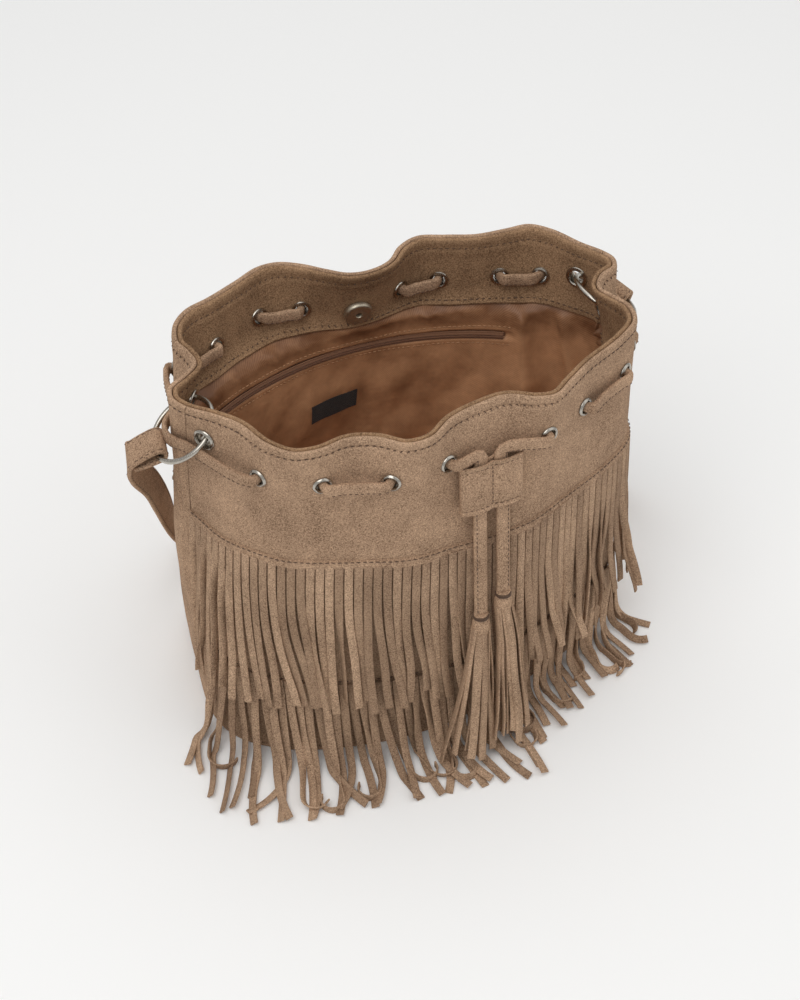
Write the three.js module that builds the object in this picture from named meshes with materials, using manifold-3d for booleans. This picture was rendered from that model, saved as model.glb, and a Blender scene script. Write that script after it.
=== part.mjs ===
// Fringed suede drawstring bag, millimetres, +Z up.
// Origin: the middle of the base panel's underside, on the surface the bag stands on.
// +X runs along the front from its left end to its right end, and the front faces -Y.

import * as THREE from 'three';
import { mergeVertices } from 'three/addons/utils/BufferGeometryUtils.js';
import Module from 'manifold-3d';

const wasm = await Module();
wasm.setup();

// ---- Driving dimensions -------------------------------------------------------------------

const HEIGHT = 255;
const YOKE_SEAM_Z = 160;
const LOWER_FRINGE_SEAM_Z = 57;
const FACING_EDGE_Z = 208;
const CORD_HOLE_Z = 225;
const RING_HOLE_Z = 233;
const HEM_Z = 243;

const SUEDE = 1.6;
const LINING = 0.7;
const BASE_BOARD = 2;
const GAP = 0.4;
const SEAM_GAP = 0.3;

// Layers of the wall, as distances inward from the outer suede surface.
const POCKET_IN = SUEDE + GAP;
const POCKET_THICK = 0.8;
const FACING_IN = 3.4;
const RIM_PLY = 2.3;
const LINING_IN = 4.2;

// Plan outlines of the wall at three heights, one list for each of its four panels. Every list
// starts on the seam where the list before it ends: front-left, front-right, back-right, back-left.
const BASE_OUTLINE = {
  front: [[-134, -48], [-125, -61], [-111, -71], [-90, -80], [-60, -85], [-28, -86], [8, -81],
    [42, -69], [72, -55], [98, -41], [120, -27], [135, -10]],
  rightGusset: [[135, -10], [140, 8], [141, 30], [139, 50], [133, 68]],
  back: [[133, 68], [122, 78], [60, 81], [0, 82], [-60, 81], [-122, 78], [-133, 68]],
  leftGusset: [[-133, 68], [-139, 47], [-140, 5], [-139, -30], [-134, -48]],
};
const MIDDLE_OUTLINE = {
  front: [[-137, -10], [-122, -40], [-100, -60], [-75, -72], [-50, -79], [-22, -83], [10, -82],
    [45, -76], [72, -63], [96, -48], [118, -34], [138, -14], [144, 8]],
  rightGusset: [[144, 8], [146, 20], [144, 33], [139, 44]],
  back: [[139, 44], [126, 56], [103, 70], [75, 81], [43, 91], [8, 94], [-30, 91], [-60, 82],
    [-88, 67], [-111, 50], [-130, 34], [-142, 18]],
  leftGusset: [[-142, 18], [-146, 9], [-144, -1], [-137, -10]],
};
const RIM_OUTLINE = {
  front: [[-136, -28], [-122, -38], [-110, -49], [-99, -68], [-85, -80], [-69, -81], [-52, -76],
    [-37, -79], [-22, -88], [-6, -86], [9, -73], [25, -66], [43, -62], [60, -68], [72, -68],
    [85, -57], [99, -45], [124, -28], [137, -14], [138, 0], [131, 12]],
  rightGusset: [[131, 12], [126, 21], [131, 31], [141, 38], [143, 46], [139, 54]],
  back: [[139, 54], [128, 66], [115, 83], [102, 92], [86, 91], [67, 90], [48, 94], [31, 97],
    [18, 90], [8, 77], [-5, 71], [-18, 71], [-31, 78], [-45, 87], [-59, 92], [-72, 90],
    [-87, 80], [-106, 68], [-121, 60], [-130, 48], [-132, 32]],
  leftGusset: [[-132, 32], [-127, 20], [-125, 10], [-133, 1], [-142, -7], [-143, -18], [-136, -28]],
};
const SECTIONS = ['front', 'rightGusset', 'back', 'leftGusset'];
const SECTION_STEPS = [28, 10, 28, 10];

// The wall is ruled between these heights.
const ROWS = [0, 40, 80, 120, 160, 196, 225, 255];
const BASE_REACH = 130;
const RIM_REACH_START = 80;
const RIM_REACH_POWER = 2.6;

// Cord eyelets, as places round the wall: 0 to 1 is the front, 2 to 3 is the back.
const CORD_EYELET_PLACES = [
  0.155, 0.265, 0.38, 0.49, 0.675, 0.77, 0.885, 0.968,
  2.13, 2.22, 2.335, 2.435, 2.64, 2.74, 2.855, 2.945,
];
const LEFT_RING_PLACES = [0.038, 3.38];
const RIGHT_RING_PLACES = [2.05, 1.36];

const CORD_EYELET = { bore: 3.9, barrel: 4.6, flange: 6 };
const RING_EYELET = { bore: 4.7, barrel: 5.4, flange: 7.2 };
const EYELET_SIDES = 12;

const RING = { radius: 21.2, wire: 1.6 };
const LEFT_DROOP = THREE.MathUtils.degToRad(34);
const RIGHT_DROOP = THREE.MathUtils.degToRad(33);

// The inner pocket's zip follows an arc round an upright axis; angles run from +Y towards +X.
const ZIP = {
  axis: [14, -110],
  radius: 193,
  z: 186,
  from: THREE.MathUtils.degToRad(-44.5),
  to: THREE.MathUtils.degToRad(21),
  slot: 11,
  tape: 24,
  sliderRest: THREE.MathUtils.degToRad(-42.5),
};
const POCKET_DEPTH_Z = 95;

const LABEL = { place: 2.575, z: 143, width: 36, height: 16, thick: 0.5 };

const SNAP = { radius: 9, thick: 3.4, hole: 2, washer: 6, socketPlace: 2.53, studPlace: 0.583, z: 223 };

const CORD_RADIUS = 2.3;
const TASSEL = { collarRadius: 5, collarHeight: 15, length: 112 };
const KEEPER = { x: 30.5, y: -79.4, z: 206.5, lean: 0.13, yaw: 0.18, width: 40, height: 33, thick: 8.4 };
const CHANNEL_SPACING = 15;
const CHANNEL_CLEARANCE = 0.45;

const STRAP = { width: 20, thick: 2.6, leftOverlap: 15, rightOverlap: 34 };

// ---- Solids -------------------------------------------------------------------------------

function toManifold(geometry) {
  const plain = geometry.clone();
  plain.deleteAttribute('normal');
  plain.deleteAttribute('uv');
  const merged = mergeVertices(plain, 1e-4);
  return new wasm.Manifold(new wasm.Mesh({
    numProp: 3,
    vertProperties: new Float32Array(merged.attributes.position.array),
    triVerts: new Uint32Array(merged.index.array),
  }));
}

function fromManifold(solid) {
  const mesh = solid.getMesh();
  const geometry = new THREE.BufferGeometry();
  geometry.setAttribute('position', new THREE.BufferAttribute(mesh.vertProperties, 3));
  geometry.setIndex(new THREE.BufferAttribute(mesh.triVerts, 1));
  return geometry;
}

function cut(geometry, tools) {
  let solid = toManifold(geometry);
  for (const tool of tools) {
    solid = solid.subtract(toManifold(tool));
  }
  return fromManifold(solid);
}

function join(geometries) {
  return fromManifold(geometries.map(toManifold).reduce((whole, next) => whole.add(next)));
}

// A solid through a row of matching loops. Each loop's first half runs along one side of the
// section and its second half comes back along the other.
function loft(loops, closed = false) {
  const size = loops[0].length;
  const positions = loops.flat().flatMap((point) => point.toArray());
  const index = [];
  const spans = closed ? loops.length : loops.length - 1;
  for (let i = 0; i < spans; i += 1) {
    const here = i * size;
    const next = ((i + 1) % loops.length) * size;
    for (let j = 0; j < size; j += 1) {
      const k = (j + 1) % size;
      // Both sides are split along the same diagonals, so that layers stay evenly apart.
      if (j < size / 2) {
        index.push(here + j, next + j, next + k, here + j, next + k, here + k);
      } else {
        index.push(here + j, next + j, here + k, next + j, next + k, here + k);
      }
    }
  }
  if (!closed) {
    const last = (loops.length - 1) * size;
    for (let j = 0; j < size / 2 - 1; j += 1) {
      const quad = [j, j + 1, size - 2 - j, size - 1 - j];
      index.push(quad[0], quad[1], quad[2], quad[0], quad[2], quad[3]);
      const end = quad.map((corner) => corner + last);
      index.push(end[2], end[1], end[0], end[3], end[2], end[0]);
    }
  }
  const geometry = new THREE.BufferGeometry();
  geometry.setAttribute('position', new THREE.Float32BufferAttribute(positions, 3));
  geometry.setIndex(index);
  return outward(geometry);
}

function signedVolume(geometry) {
  const { array } = geometry.attributes.position;
  const corner = (i) => new THREE.Vector3().fromArray(array, geometry.index.getX(i) * 3);
  let volume = 0;
  for (let i = 0; i < geometry.index.count; i += 3) {
    volume += corner(i).dot(corner(i + 1).cross(corner(i + 2))) / 6;
  }
  return volume;
}

function outward(geometry) {
  if (signedVolume(geometry) < 0) {
    const { index } = geometry;
    for (let i = 0; i < index.count; i += 3) {
      const first = index.getX(i);
      index.setX(i, index.getX(i + 2));
      index.setX(i + 2, first);
    }
  }
  return geometry;
}

// ---- The wall -----------------------------------------------------------------------------

// One closed curve for each outline, read by its place round the wall, with even steps of
// length along each section.
function makeOutline(outline) {
  const points = SECTIONS.flatMap((name) => outline[name].slice(0, -1));
  const curve = new THREE.CatmullRomCurve3(
    points.map(([x, y]) => new THREE.Vector3(x, y, 0)), true, 'centripetal');
  const samples = 240;
  const tables = [];
  let start = 0;
  for (const name of SECTIONS) {
    const count = outline[name].length - 1;
    const table = [{ t: start / points.length, length: 0 }];
    let before = curve.getPoint(table[0].t);
    for (let i = 1; i <= samples; i += 1) {
      const t = (start + count * i / samples) / points.length;
      const point = curve.getPoint(t % 1);
      const length = table[i - 1].length + point.distanceTo(before);
      table.push({ t, length });
      before = point;
    }
    tables.push(table);
    start += count;
  }
  return (place) => {
    const wrapped = ((place % 4) + 4) % 4;
    const table = tables[Math.floor(wrapped)];
    const target = (wrapped % 1) * table[samples].length;
    let i = 1;
    while (i < samples && table[i].length < target) {
      i += 1;
    }
    const [a, b] = [table[i - 1], table[i]];
    const mix = (target - a.length) / (b.length - a.length);
    return curve.getPoint((a.t + (b.t - a.t) * mix) % 1);
  };
}

const outlineAt = {
  base: makeOutline(BASE_OUTLINE),
  middle: makeOutline(MIDDLE_OUTLINE),
  rim: makeOutline(RIM_OUTLINE),
};

function planPoint(place, z) {
  const base = Math.max(0, (BASE_REACH - z) / BASE_REACH) ** 2;
  const rim = Math.max(0, (z - RIM_REACH_START) / (HEIGHT - RIM_REACH_START))
    ** RIM_REACH_POWER;
  const point = outlineAt.base(place).multiplyScalar(base);
  point.addScaledVector(outlineAt.middle(place), 1 - base - rim);
  point.addScaledVector(outlineAt.rim(place), rim);
  return point;
}

function rowFrame(place, z) {
  const step = 0.004;
  const along = planPoint(place + step, z).sub(planPoint(place - step, z)).normalize();
  return {
    point: planPoint(place, z).setZ(z),
    outward: new THREE.Vector3(along.y, -along.x, 0),
  };
}

// Point and outward direction of the outer suede surface.
function wallFrame(place, z) {
  let i = 1;
  while (i < ROWS.length - 1 && z > ROWS[i]) {
    i += 1;
  }
  const low = rowFrame(place, ROWS[i - 1]);
  const high = rowFrame(place, ROWS[i]);
  const mix = (z - ROWS[i - 1]) / (ROWS[i] - ROWS[i - 1]);
  return {
    point: low.point.lerp(high.point, mix),
    outward: low.outward.lerp(high.outward, mix),
  };
}

// A point held off the outer surface; a negative distance is inside the wall.
function offWall(place, z, distance) {
  const { point, outward: direction } = wallFrame(place, z);
  return point.addScaledVector(direction, distance);
}

function sectionLength(section, z) {
  let length = 0;
  for (let i = 0; i < 40; i += 1) {
    length += planPoint(section + i / 40, z).distanceTo(planPoint(section + (i + 1) / 40, z));
  }
  return length;
}

// Places from one to another, on the wall's own columns.
function placesBetween(from, to) {
  const places = [from];
  for (let section = Math.floor(from); section < to; section += 1) {
    const steps = SECTION_STEPS[section % 4];
    for (let i = 0; i <= steps; i += 1) {
      const place = section + i / steps;
      if (place > from + 0.002 && place < to - 0.002 && place !== places.at(-1)) {
        places.push(place);
      }
    }
  }
  places.push(to);
  return places;
}

// A layer of the wall. Its section is a list of [z, depth of its outer face, thickness], with
// depths inward from the outer surface; a depth may be a function of the place.
function layer(places, section, closed = false) {
  return loft(places.map((place) => {
    const depthOf = (depth) => (typeof depth === 'function' ? depth(place) : depth);
    const outer = section.map(([z, depth]) => offWall(place, z, -depthOf(depth)));
    const inner = section.map(([z, depth, thick]) => offWall(place, z, -depthOf(depth) - thick));
    return [...outer, ...inner.reverse()];
  }), closed);
}

// A band held off the wall, given as [distance, z] along its middle, as fringe hangs.
function hangingBand(places, profile, thick) {
  const side = (place, sign) => profile.map(([distance, z], i) => {
    const before = profile[Math.max(i - 1, 0)];
    const after = profile[Math.min(i + 1, profile.length - 1)];
    const run = new THREE.Vector2(after[0] - before[0], after[1] - before[1]).normalize();
    const shift = sign * thick / 2;
    return offWall(place, z - run.x * shift, distance + run.y * shift);
  });
  return loft(places.map((place) => [...side(place, 1), ...side(place, -1).reverse()]));
}

function rowsBetween(low, high) {
  return [low, ...ROWS.filter((z) => z > low + 1 && z < high - 1), high];
}

function panelPlaces(section) {
  const trim = SEAM_GAP / 2 / sectionLength(section, HEIGHT);
  return placesBetween(section + trim, section + 1 - trim);
}

function plate(z, thickness, inset) {
  const outline = placesBetween(0, 4).slice(0, -1).map((place) => {
    const point = offWall(place, z, -inset);
    return new THREE.Vector2(point.x, point.y);
  });
  const geometry = new THREE.ExtrudeGeometry(new THREE.Shape(outline), {
    depth: thickness,
    bevelEnabled: false,
  });
  return geometry.translate(0, 0, z);
}

// ---- Materials ----------------------------------------------------------------------------

const material = (color, roughness, metalness = 0) => new THREE.MeshStandardMaterial({
  color, roughness, metalness,
});
const suede = () => material(0xa08469, 0.95);
const facingSuede = () => material(0x937658, 0.95);
const satin = () => material(0x8a6242, 0.6);
const darkSatin = () => material(0x6f4a30, 0.6);
const coilNylon = () => material(0x5c4030, 0.5);
const nickel = () => material(0xc4c2bd, 0.25, 1);
const board = () => material(0xb9a88c, 0.9);
const blackTape = () => material(0x17171a, 0.7);

const bag = new THREE.Group();

function add(name, geometry, finish) {
  const mesh = new THREE.Mesh(geometry, finish);
  mesh.name = name;
  bag.add(mesh);
  return mesh;
}

// ---- Eyelets and their holes --------------------------------------------------------------

// A frame whose +Y points out of the wall, square to it unless it is kept level.
function eyeletFrame(place, z, level = false) {
  const { point, outward: direction } = wallFrame(place, z);
  const reach = 7;
  const up = wallFrame(place, z + reach).point.sub(wallFrame(place, z - reach).point).normalize();
  direction.addScaledVector(up, level ? 0 : -direction.dot(up)).normalize();
  const turn = new THREE.Quaternion().setFromUnitVectors(new THREE.Vector3(0, 1, 0), direction);
  return { place, point, direction, turn };
}

// A turned solid on a frame, from its profile of [radius, height along the frame's +Y].
function turned(frame, profile, sides) {
  const points = [...profile, profile[0]].map(([r, y]) => new THREE.Vector2(r, y));
  return outward(mergeVertices(new THREE.LatheGeometry(points, sides)))
    .applyQuaternion(frame.turn).translate(...frame.point.toArray());
}

const FLANGE_OUT = 0.9;
const FLANGE_IN = -FACING_IN - SUEDE - 0.9;

// The hole and the flat seats that an eyelet presses into both layers.
function eyeletHole(frame, size) {
  const seat = size.flange + 0.4;
  const hole = size.barrel + 0.5;
  return turned(frame, [
    [0, 8], [seat, 8], [seat, FLANGE_OUT - 0.35], [hole, FLANGE_OUT - 0.35],
    [hole, FLANGE_IN + 0.35], [seat, FLANGE_IN + 0.35], [seat, -14], [0, -14],
  ], EYELET_SIDES);
}

function eyeletBody(frame, size) {
  const outside = FLANGE_OUT;
  const inside = FLANGE_IN;
  const lip = 0.8;
  const profile = [
    [size.bore, outside + lip], [size.flange, outside + 0.2], [size.barrel, outside],
    [size.barrel, inside], [size.flange, inside - 0.2], [size.bore, inside - lip],
  ];
  return turned(frame, profile, EYELET_SIDES);
}

const cordEyelets = CORD_EYELET_PLACES.map((place) => eyeletFrame(place, CORD_HOLE_Z));
const leftRingEyelets = LEFT_RING_PLACES.map((place) => eyeletFrame(place, RING_HOLE_Z, true));
const rightRingEyelets = RIGHT_RING_PLACES.map((place) => eyeletFrame(place, RING_HOLE_Z, true));
const ringEyelets = [...leftRingEyelets, ...rightRingEyelets];

function holesIn(from, to) {
  const within = ({ place }) => place > from && place < to;
  return [
    ...cordEyelets.filter(within).map((frame) => eyeletHole(frame, CORD_EYELET)),
    ...ringEyelets.filter(within).map((frame) => eyeletHole(frame, RING_EYELET)),
  ];
}

// ---- Magnetic snap ------------------------------------------------------------------------

const socketFrame = eyeletFrame(SNAP.socketPlace, SNAP.z);
const studFrame = eyeletFrame(SNAP.studPlace, SNAP.z);
const SNAP_IN = -FACING_IN - SUEDE - 0.7;
const WASHER_OUT = -SUEDE - 0.5;
const WASHER_IN = WASHER_OUT - 0.8;

// The flat seats that the snap's disc and the washer behind it press into the layers.
function snapSeats(frame) {
  return [
    turned(frame, [[0, SNAP_IN + 0.3], [SNAP.radius + 0.4, SNAP_IN + 0.3],
      [SNAP.radius + 0.4, -14], [0, -14]], 16),
    turned(frame, [[0, WASHER_OUT + 0.3], [SNAP.washer + 0.4, WASHER_OUT + 0.3],
      [SNAP.washer + 0.4, WASHER_IN - 0.3], [0, WASHER_IN - 0.3]], 12),
  ];
}

// ---- Shell of the bag ---------------------------------------------------------------------

add('base_panel', plate(0, SUEDE, 0), suede());
add('base_board', plate(SUEDE + GAP, BASE_BOARD, POCKET_IN + 2), board());

const WALL_FOOT_Z = SUEDE + GAP;

function wallSection(low, high) {
  return rowsBetween(low, high).map((z) => [z, 0, SUEDE]);
}

function yokeSection() {
  return [...rowsBetween(YOKE_SEAM_Z, HEM_Z - 2).map((z) => [z, 0, SUEDE]),
    [HEM_Z, 0, RIM_PLY], [HEIGHT, 0, RIM_PLY]];
}

function gussetSection() {
  return [...wallSection(WALL_FOOT_Z, HEM_Z - 2), [HEM_Z, 0, RIM_PLY], [HEIGHT, 0, RIM_PLY]];
}

const PANEL_TOP_Z = YOKE_SEAM_Z - SEAM_GAP;
for (const [name, section] of [['front', 0], ['back', 2]]) {
  const places = panelPlaces(section);
  add(`${name}_panel`, layer(places, wallSection(WALL_FOOT_Z, PANEL_TOP_Z)), suede());
  const yoke = layer(places, yokeSection());
  const snapFrame = section === 0 ? studFrame : socketFrame;
  const holes = [...holesIn(section, section + 1), ...snapSeats(snapFrame)];
  add(`${name}_yoke`, cut(yoke, holes), suede());
}
for (const [name, section] of [['right_gusset', 1], ['left_gusset', 3]]) {
  const gusset = layer(panelPlaces(section), gussetSection());
  add(name, cut(gusset, holesIn(section, section + 1)), suede());
}

// ---- Lining, inner pocket and facing ------------------------------------------------------

const smoothstep = (x, low, high) => THREE.MathUtils.smoothstep(x, low, high);

// How far the lining stands in from its usual depth to follow the zip's arc.
const bulgeCache = new Map();
function liningBulge(place) {
  if (!bulgeCache.has(place)) {
    const { point, outward: direction } = wallFrame(place, ZIP.z);
    const fromAxis = point.clone().sub(new THREE.Vector3(...ZIP.axis, ZIP.z));
    const angle = Math.atan2(fromAxis.x, fromAxis.y);
    const fade = THREE.MathUtils.degToRad(8);
    const margin = THREE.MathUtils.degToRad(2);
    const window = smoothstep(angle, ZIP.from - margin - fade, ZIP.from - margin)
      * (1 - smoothstep(angle, ZIP.to + margin, ZIP.to + margin + fade));
    const across = fromAxis.dot(direction);
    const reach = across - Math.sqrt(across ** 2 - fromAxis.lengthSq() + ZIP.radius ** 2);
    const bulge = Number.isNaN(reach) ? 0 : Math.max(0, reach - LINING_IN - LINING);
    bulgeCache.set(place, bulge * window);
  }
  return bulgeCache.get(place);
}

const ZIP_LOW_Z = ZIP.z - ZIP.tape / 2;
const ZIP_HIGH_Z = ZIP.z + ZIP.tape / 2;
const bulged = (depth, share) => (place) => depth + share * liningBulge(place);

const LINING_FOOT_Z = WALL_FOOT_Z + BASE_BOARD + GAP;
const liningRows = [
  [LINING_FOOT_Z, LINING_IN, LINING], [40, LINING_IN, LINING], [80, bulged(LINING_IN, 0.2), LINING],
  [120, bulged(LINING_IN, 0.6), LINING], [160, bulged(LINING_IN, 0.95), LINING],
  [ZIP_LOW_Z - 2, bulged(LINING_IN, 1), LINING], [ZIP_HIGH_Z + 2, bulged(LINING_IN, 1), LINING],
  [FACING_EDGE_Z, bulged(LINING_IN, 0.3), LINING],
  [FACING_EDGE_Z + 2, bulged(LINING_IN - 0.6, 0.15), LINING],
];
const allRound = placesBetween(0, 4).slice(0, -1);
const liningWall = layer(allRound, liningRows, true);
const liningFloor = plate(LINING_FOOT_Z, LINING, LINING_IN + LINING / 2);

function placeAtAngle(angle) {
  let best = { miss: Infinity };
  for (let place = 2; place < 3.3; place += 0.002) {
    const { point } = wallFrame(place, ZIP.z);
    const inward = offWall(place, ZIP.z, -LINING_IN - LINING - liningBulge(place));
    const miss = Math.abs(Math.atan2(inward.x - ZIP.axis[0], inward.y - ZIP.axis[1]) - angle);
    if (miss < best.miss && point.y > 0) {
      best = { miss, place };
    }
  }
  return best.place;
}

const zipPlaces = placesBetween(placeAtAngle(ZIP.to), placeAtAngle(ZIP.from));
const slotTool = layer(zipPlaces, [
  [ZIP.z - ZIP.slot / 2, bulged(LINING_IN - 0.3, 1), 6],
  [ZIP.z + ZIP.slot / 2, bulged(LINING_IN - 0.3, 1), 6],
]);
add('lining', cut(join([liningWall, liningFloor]), [slotTool]), satin());

const TAPE_THICK = 0.6;
const TAPE_IN = LINING_IN - GAP - TAPE_THICK;
add('zip_tape', layer(zipPlaces, [
  [ZIP_LOW_Z, bulged(TAPE_IN, 1), TAPE_THICK], [ZIP_HIGH_Z, bulged(TAPE_IN, 1), TAPE_THICK],
]), darkSatin());

const pocketDepth = TAPE_IN - GAP - POCKET_THICK;
add('pocket_bag', layer(zipPlaces, [
  [POCKET_DEPTH_Z, bulged(pocketDepth, 0.35), POCKET_THICK],
  [120, bulged(pocketDepth, 0.6), POCKET_THICK], [160, bulged(pocketDepth, 0.95), POCKET_THICK],
  [ZIP_LOW_Z, bulged(pocketDepth, 1), POCKET_THICK],
  [ZIP_HIGH_Z, bulged(pocketDepth, 1), POCKET_THICK],
]), darkSatin());

// A bar bent round the zip's axis, with a rectangular section.
function arcBar(from, to, steps, inner, outer, low, high) {
  const loops = [];
  for (let i = 0; i <= steps; i += 1) {
    const angle = from + (to - from) * i / steps;
    const at = (r, z) => new THREE.Vector3(
      ZIP.axis[0] + r * Math.sin(angle), ZIP.axis[1] + r * Math.cos(angle), z);
    loops.push([at(inner, low), at(inner, high), at(outer, high), at(outer, low)]);
  }
  return loft(loops);
}

const COIL = { inner: ZIP.radius - 1.5, outer: ZIP.radius + 0.55, half: 1.8 };
const degree = THREE.MathUtils.degToRad(1);
add('zip_coil', arcBar(ZIP.from + degree * 0.6, ZIP.to - degree * 0.6, 26,
  COIL.inner, COIL.outer, ZIP.z - COIL.half, ZIP.z + COIL.half), coilNylon());

// The slider's plate rides on the coil's inner side, and its lips reach round the coil's edges.
const SLIDER = { half: degree * 1.6, plate: 1.6, lip: 1, clear: 0.35, height: 8.4 };
const sliderFrom = ZIP.sliderRest - SLIDER.half;
const sliderTo = ZIP.sliderRest + SLIDER.half;
const plateOuter = COIL.inner - SLIDER.clear;
const plateInner = plateOuter - SLIDER.plate;
const lipLow = ZIP.z - COIL.half - SLIDER.clear;
const lipHigh = ZIP.z + COIL.half + SLIDER.clear;
const sliderBar = (inner, outer, low, high) => arcBar(sliderFrom, sliderTo, 2, inner, outer, low, high);
const sliderPlate = sliderBar(plateInner, plateOuter, ZIP.z - SLIDER.height / 2, ZIP.z + SLIDER.height / 2);
const sliderLips = [
  sliderBar(plateOuter - 0.5, ZIP.radius - 0.3, lipLow - SLIDER.lip, lipLow),
  sliderBar(plateOuter - 0.5, ZIP.radius - 0.3, lipHigh, lipHigh + SLIDER.lip),
];

// The puller's pin runs along the zip between two small posts.
const PIN = { radius: 0.7, stand: 2, half: 3.4, post: 1 };
const pinRadius = plateInner - PIN.stand;
const pinCentre = new THREE.Vector3(
  ZIP.axis[0] + pinRadius * Math.sin(ZIP.sliderRest),
  ZIP.axis[1] + pinRadius * Math.cos(ZIP.sliderRest), ZIP.z);
const alongZip = new THREE.Vector3(Math.cos(ZIP.sliderRest), -Math.sin(ZIP.sliderRest), 0);
const acrossZip = new THREE.Vector3(Math.sin(ZIP.sliderRest), Math.cos(ZIP.sliderRest), 0);
const pinBasis = new THREE.Matrix4().makeBasis(alongZip, acrossZip, new THREE.Vector3(0, 0, 1))
  .setPosition(pinCentre);
const pin = new THREE.CylinderGeometry(PIN.radius, PIN.radius, PIN.half * 2, 10).rotateZ(Math.PI / 2);
const posts = [-1, 1].map((side) => new THREE.BoxGeometry(PIN.post, PIN.stand + 1.2, 2)
  .translate(side * (PIN.half - PIN.post / 2), (PIN.stand + 1.2) / 2 - 0.7, 0));
add('zip_slider', join([
  sliderPlate, ...sliderLips, ...[pin, ...posts].map((piece) => piece.applyMatrix4(pinBasis)),
]), nickel());

const PULLER = { eye: 1.9, bore: 1, knuckle: 4, width: 6, length: 24, thick: 1 };
const eye = new THREE.Shape().absarc(0, 0, PULLER.eye, 0, Math.PI * 2);
eye.holes.push(new THREE.Path().absarc(0, 0, PULLER.bore, 0, Math.PI * 2, true));
const knuckle = new THREE.ExtrudeGeometry(eye, { depth: PULLER.knuckle, bevelEnabled: false, curveSegments: 6 })
  .translate(0, 0, -PULLER.knuckle / 2).rotateY(Math.PI / 2);
const tab = new THREE.BoxGeometry(PULLER.width, PULLER.thick, PULLER.length)
  .translate(0, -PULLER.eye + PULLER.thick / 2, -PULLER.bore - 0.3 - PULLER.length / 2);
add('zip_puller', join([knuckle, tab].map((piece) => piece.applyMatrix4(pinBasis))), nickel());

const labelHalf = LABEL.width / 2 / sectionLength(2, LABEL.z);
add('label', layer(placesBetween(LABEL.place - labelHalf, LABEL.place + labelHalf), [
  [LABEL.z - LABEL.height / 2, bulged(LINING_IN + LINING + 0.6, 0.82), LABEL.thick],
  [LABEL.z + LABEL.height / 2, bulged(LINING_IN + LINING + 0.6, 0.95), LABEL.thick],
]), blackTape());

const FACING_FLAT_Z = 214.5;
const facingSection = [
  [FACING_EDGE_Z, bulged(LINING_IN + LINING + GAP + 0.2, 0.32), SUEDE],
  [FACING_FLAT_Z, FACING_IN, SUEDE], [ROWS[6], FACING_IN, SUEDE], [HEM_Z - 2, FACING_IN, SUEDE],
  [HEM_Z, RIM_PLY + GAP, RIM_PLY], [HEIGHT, RIM_PLY + GAP, RIM_PLY],
];
const FACING_SEAM = 0.003;
for (const [name, middle, snapFrame] of [
  ['front_facing', 4.5, studFrame], ['back_facing', 2.5, socketFrame],
]) {
  const places = placesBetween(middle - 1 + FACING_SEAM, middle + 1 - FACING_SEAM);
  const holes = [...holesIn(0, 4), ...snapSeats(snapFrame)];
  add(name, cut(layer(places, facingSection), holes), facingSuede());
}

add('snap_socket', turned(socketFrame, [
  [SNAP.hole, SNAP_IN], [SNAP.radius, SNAP_IN], [SNAP.radius, SNAP_IN - SNAP.thick + 1],
  [SNAP.radius - 1, SNAP_IN - SNAP.thick], [SNAP.hole, SNAP_IN - SNAP.thick],
], 20), nickel());
const STUD_PLATE = 2;
const STUD_HEIGHT = 2;
add('snap_stud', turned(studFrame, [
  [0, SNAP_IN], [SNAP.radius, SNAP_IN], [SNAP.radius, SNAP_IN - STUD_PLATE + 0.6],
  [SNAP.radius - 1, SNAP_IN - STUD_PLATE], [SNAP.hole - 0.3, SNAP_IN - STUD_PLATE],
  [SNAP.hole - 0.3, SNAP_IN - STUD_PLATE - STUD_HEIGHT], [0, SNAP_IN - STUD_PLATE - STUD_HEIGHT],
], 20), nickel());
for (const [name, frame] of [['snap_washer_back', socketFrame], ['snap_washer_front', studFrame]]) {
  add(name, turned(frame, [
    [2, WASHER_OUT], [SNAP.washer, WASHER_OUT], [SNAP.washer, WASHER_IN], [2, WASHER_IN],
  ], 14), nickel());
}


// ---- Eyelets and rings --------------------------------------------------------------------

cordEyelets.forEach((frame, i) => {
  const name = `cord_eyelet_${String(i + 1).padStart(2, '0')}`;
  add(name, eyeletBody(frame, CORD_EYELET), nickel());
});
const RING_EYELET_NAMES = [
  'left_front_ring_eyelet', 'left_side_ring_eyelet', 'right_back_ring_eyelet', 'right_side_ring_eyelet',
];
ringEyelets.forEach((frame, i) => {
  add(RING_EYELET_NAMES[i], eyeletBody(frame, RING_EYELET), nickel());
});

// The ring that threads two eyelets, drooping outward; its frame is its centre, the direction
// of its lowest point and the level direction from its first eyelet to its second.
function ringFrame([first, second], droop) {
  const middle = (FACING_IN + SUEDE) / 2;
  const [a, b] = [first, second].map(
    ({ point, direction }) => point.clone().addScaledVector(direction, -middle));
  const level = b.clone().sub(a);
  const halfChord = level.length() / 2;
  level.normalize();
  const out = new THREE.Vector3(level.y, -level.x, 0);
  if (out.dot(first.direction) < 0) {
    out.negate();
  }
  out.multiplyScalar(Math.cos(droop)).setZ(-Math.sin(droop));
  const centre = a.add(b).multiplyScalar(0.5)
    .addScaledVector(out, Math.sqrt(RING.radius ** 2 - halfChord ** 2));
  return { centre, out, level, axis: new THREE.Vector3().crossVectors(out, level).normalize() };
}

function ringPoint(frame, angle) {
  return frame.centre.clone()
    .addScaledVector(frame.out, RING.radius * Math.cos(angle))
    .addScaledVector(frame.level, RING.radius * Math.sin(angle));
}

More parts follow.
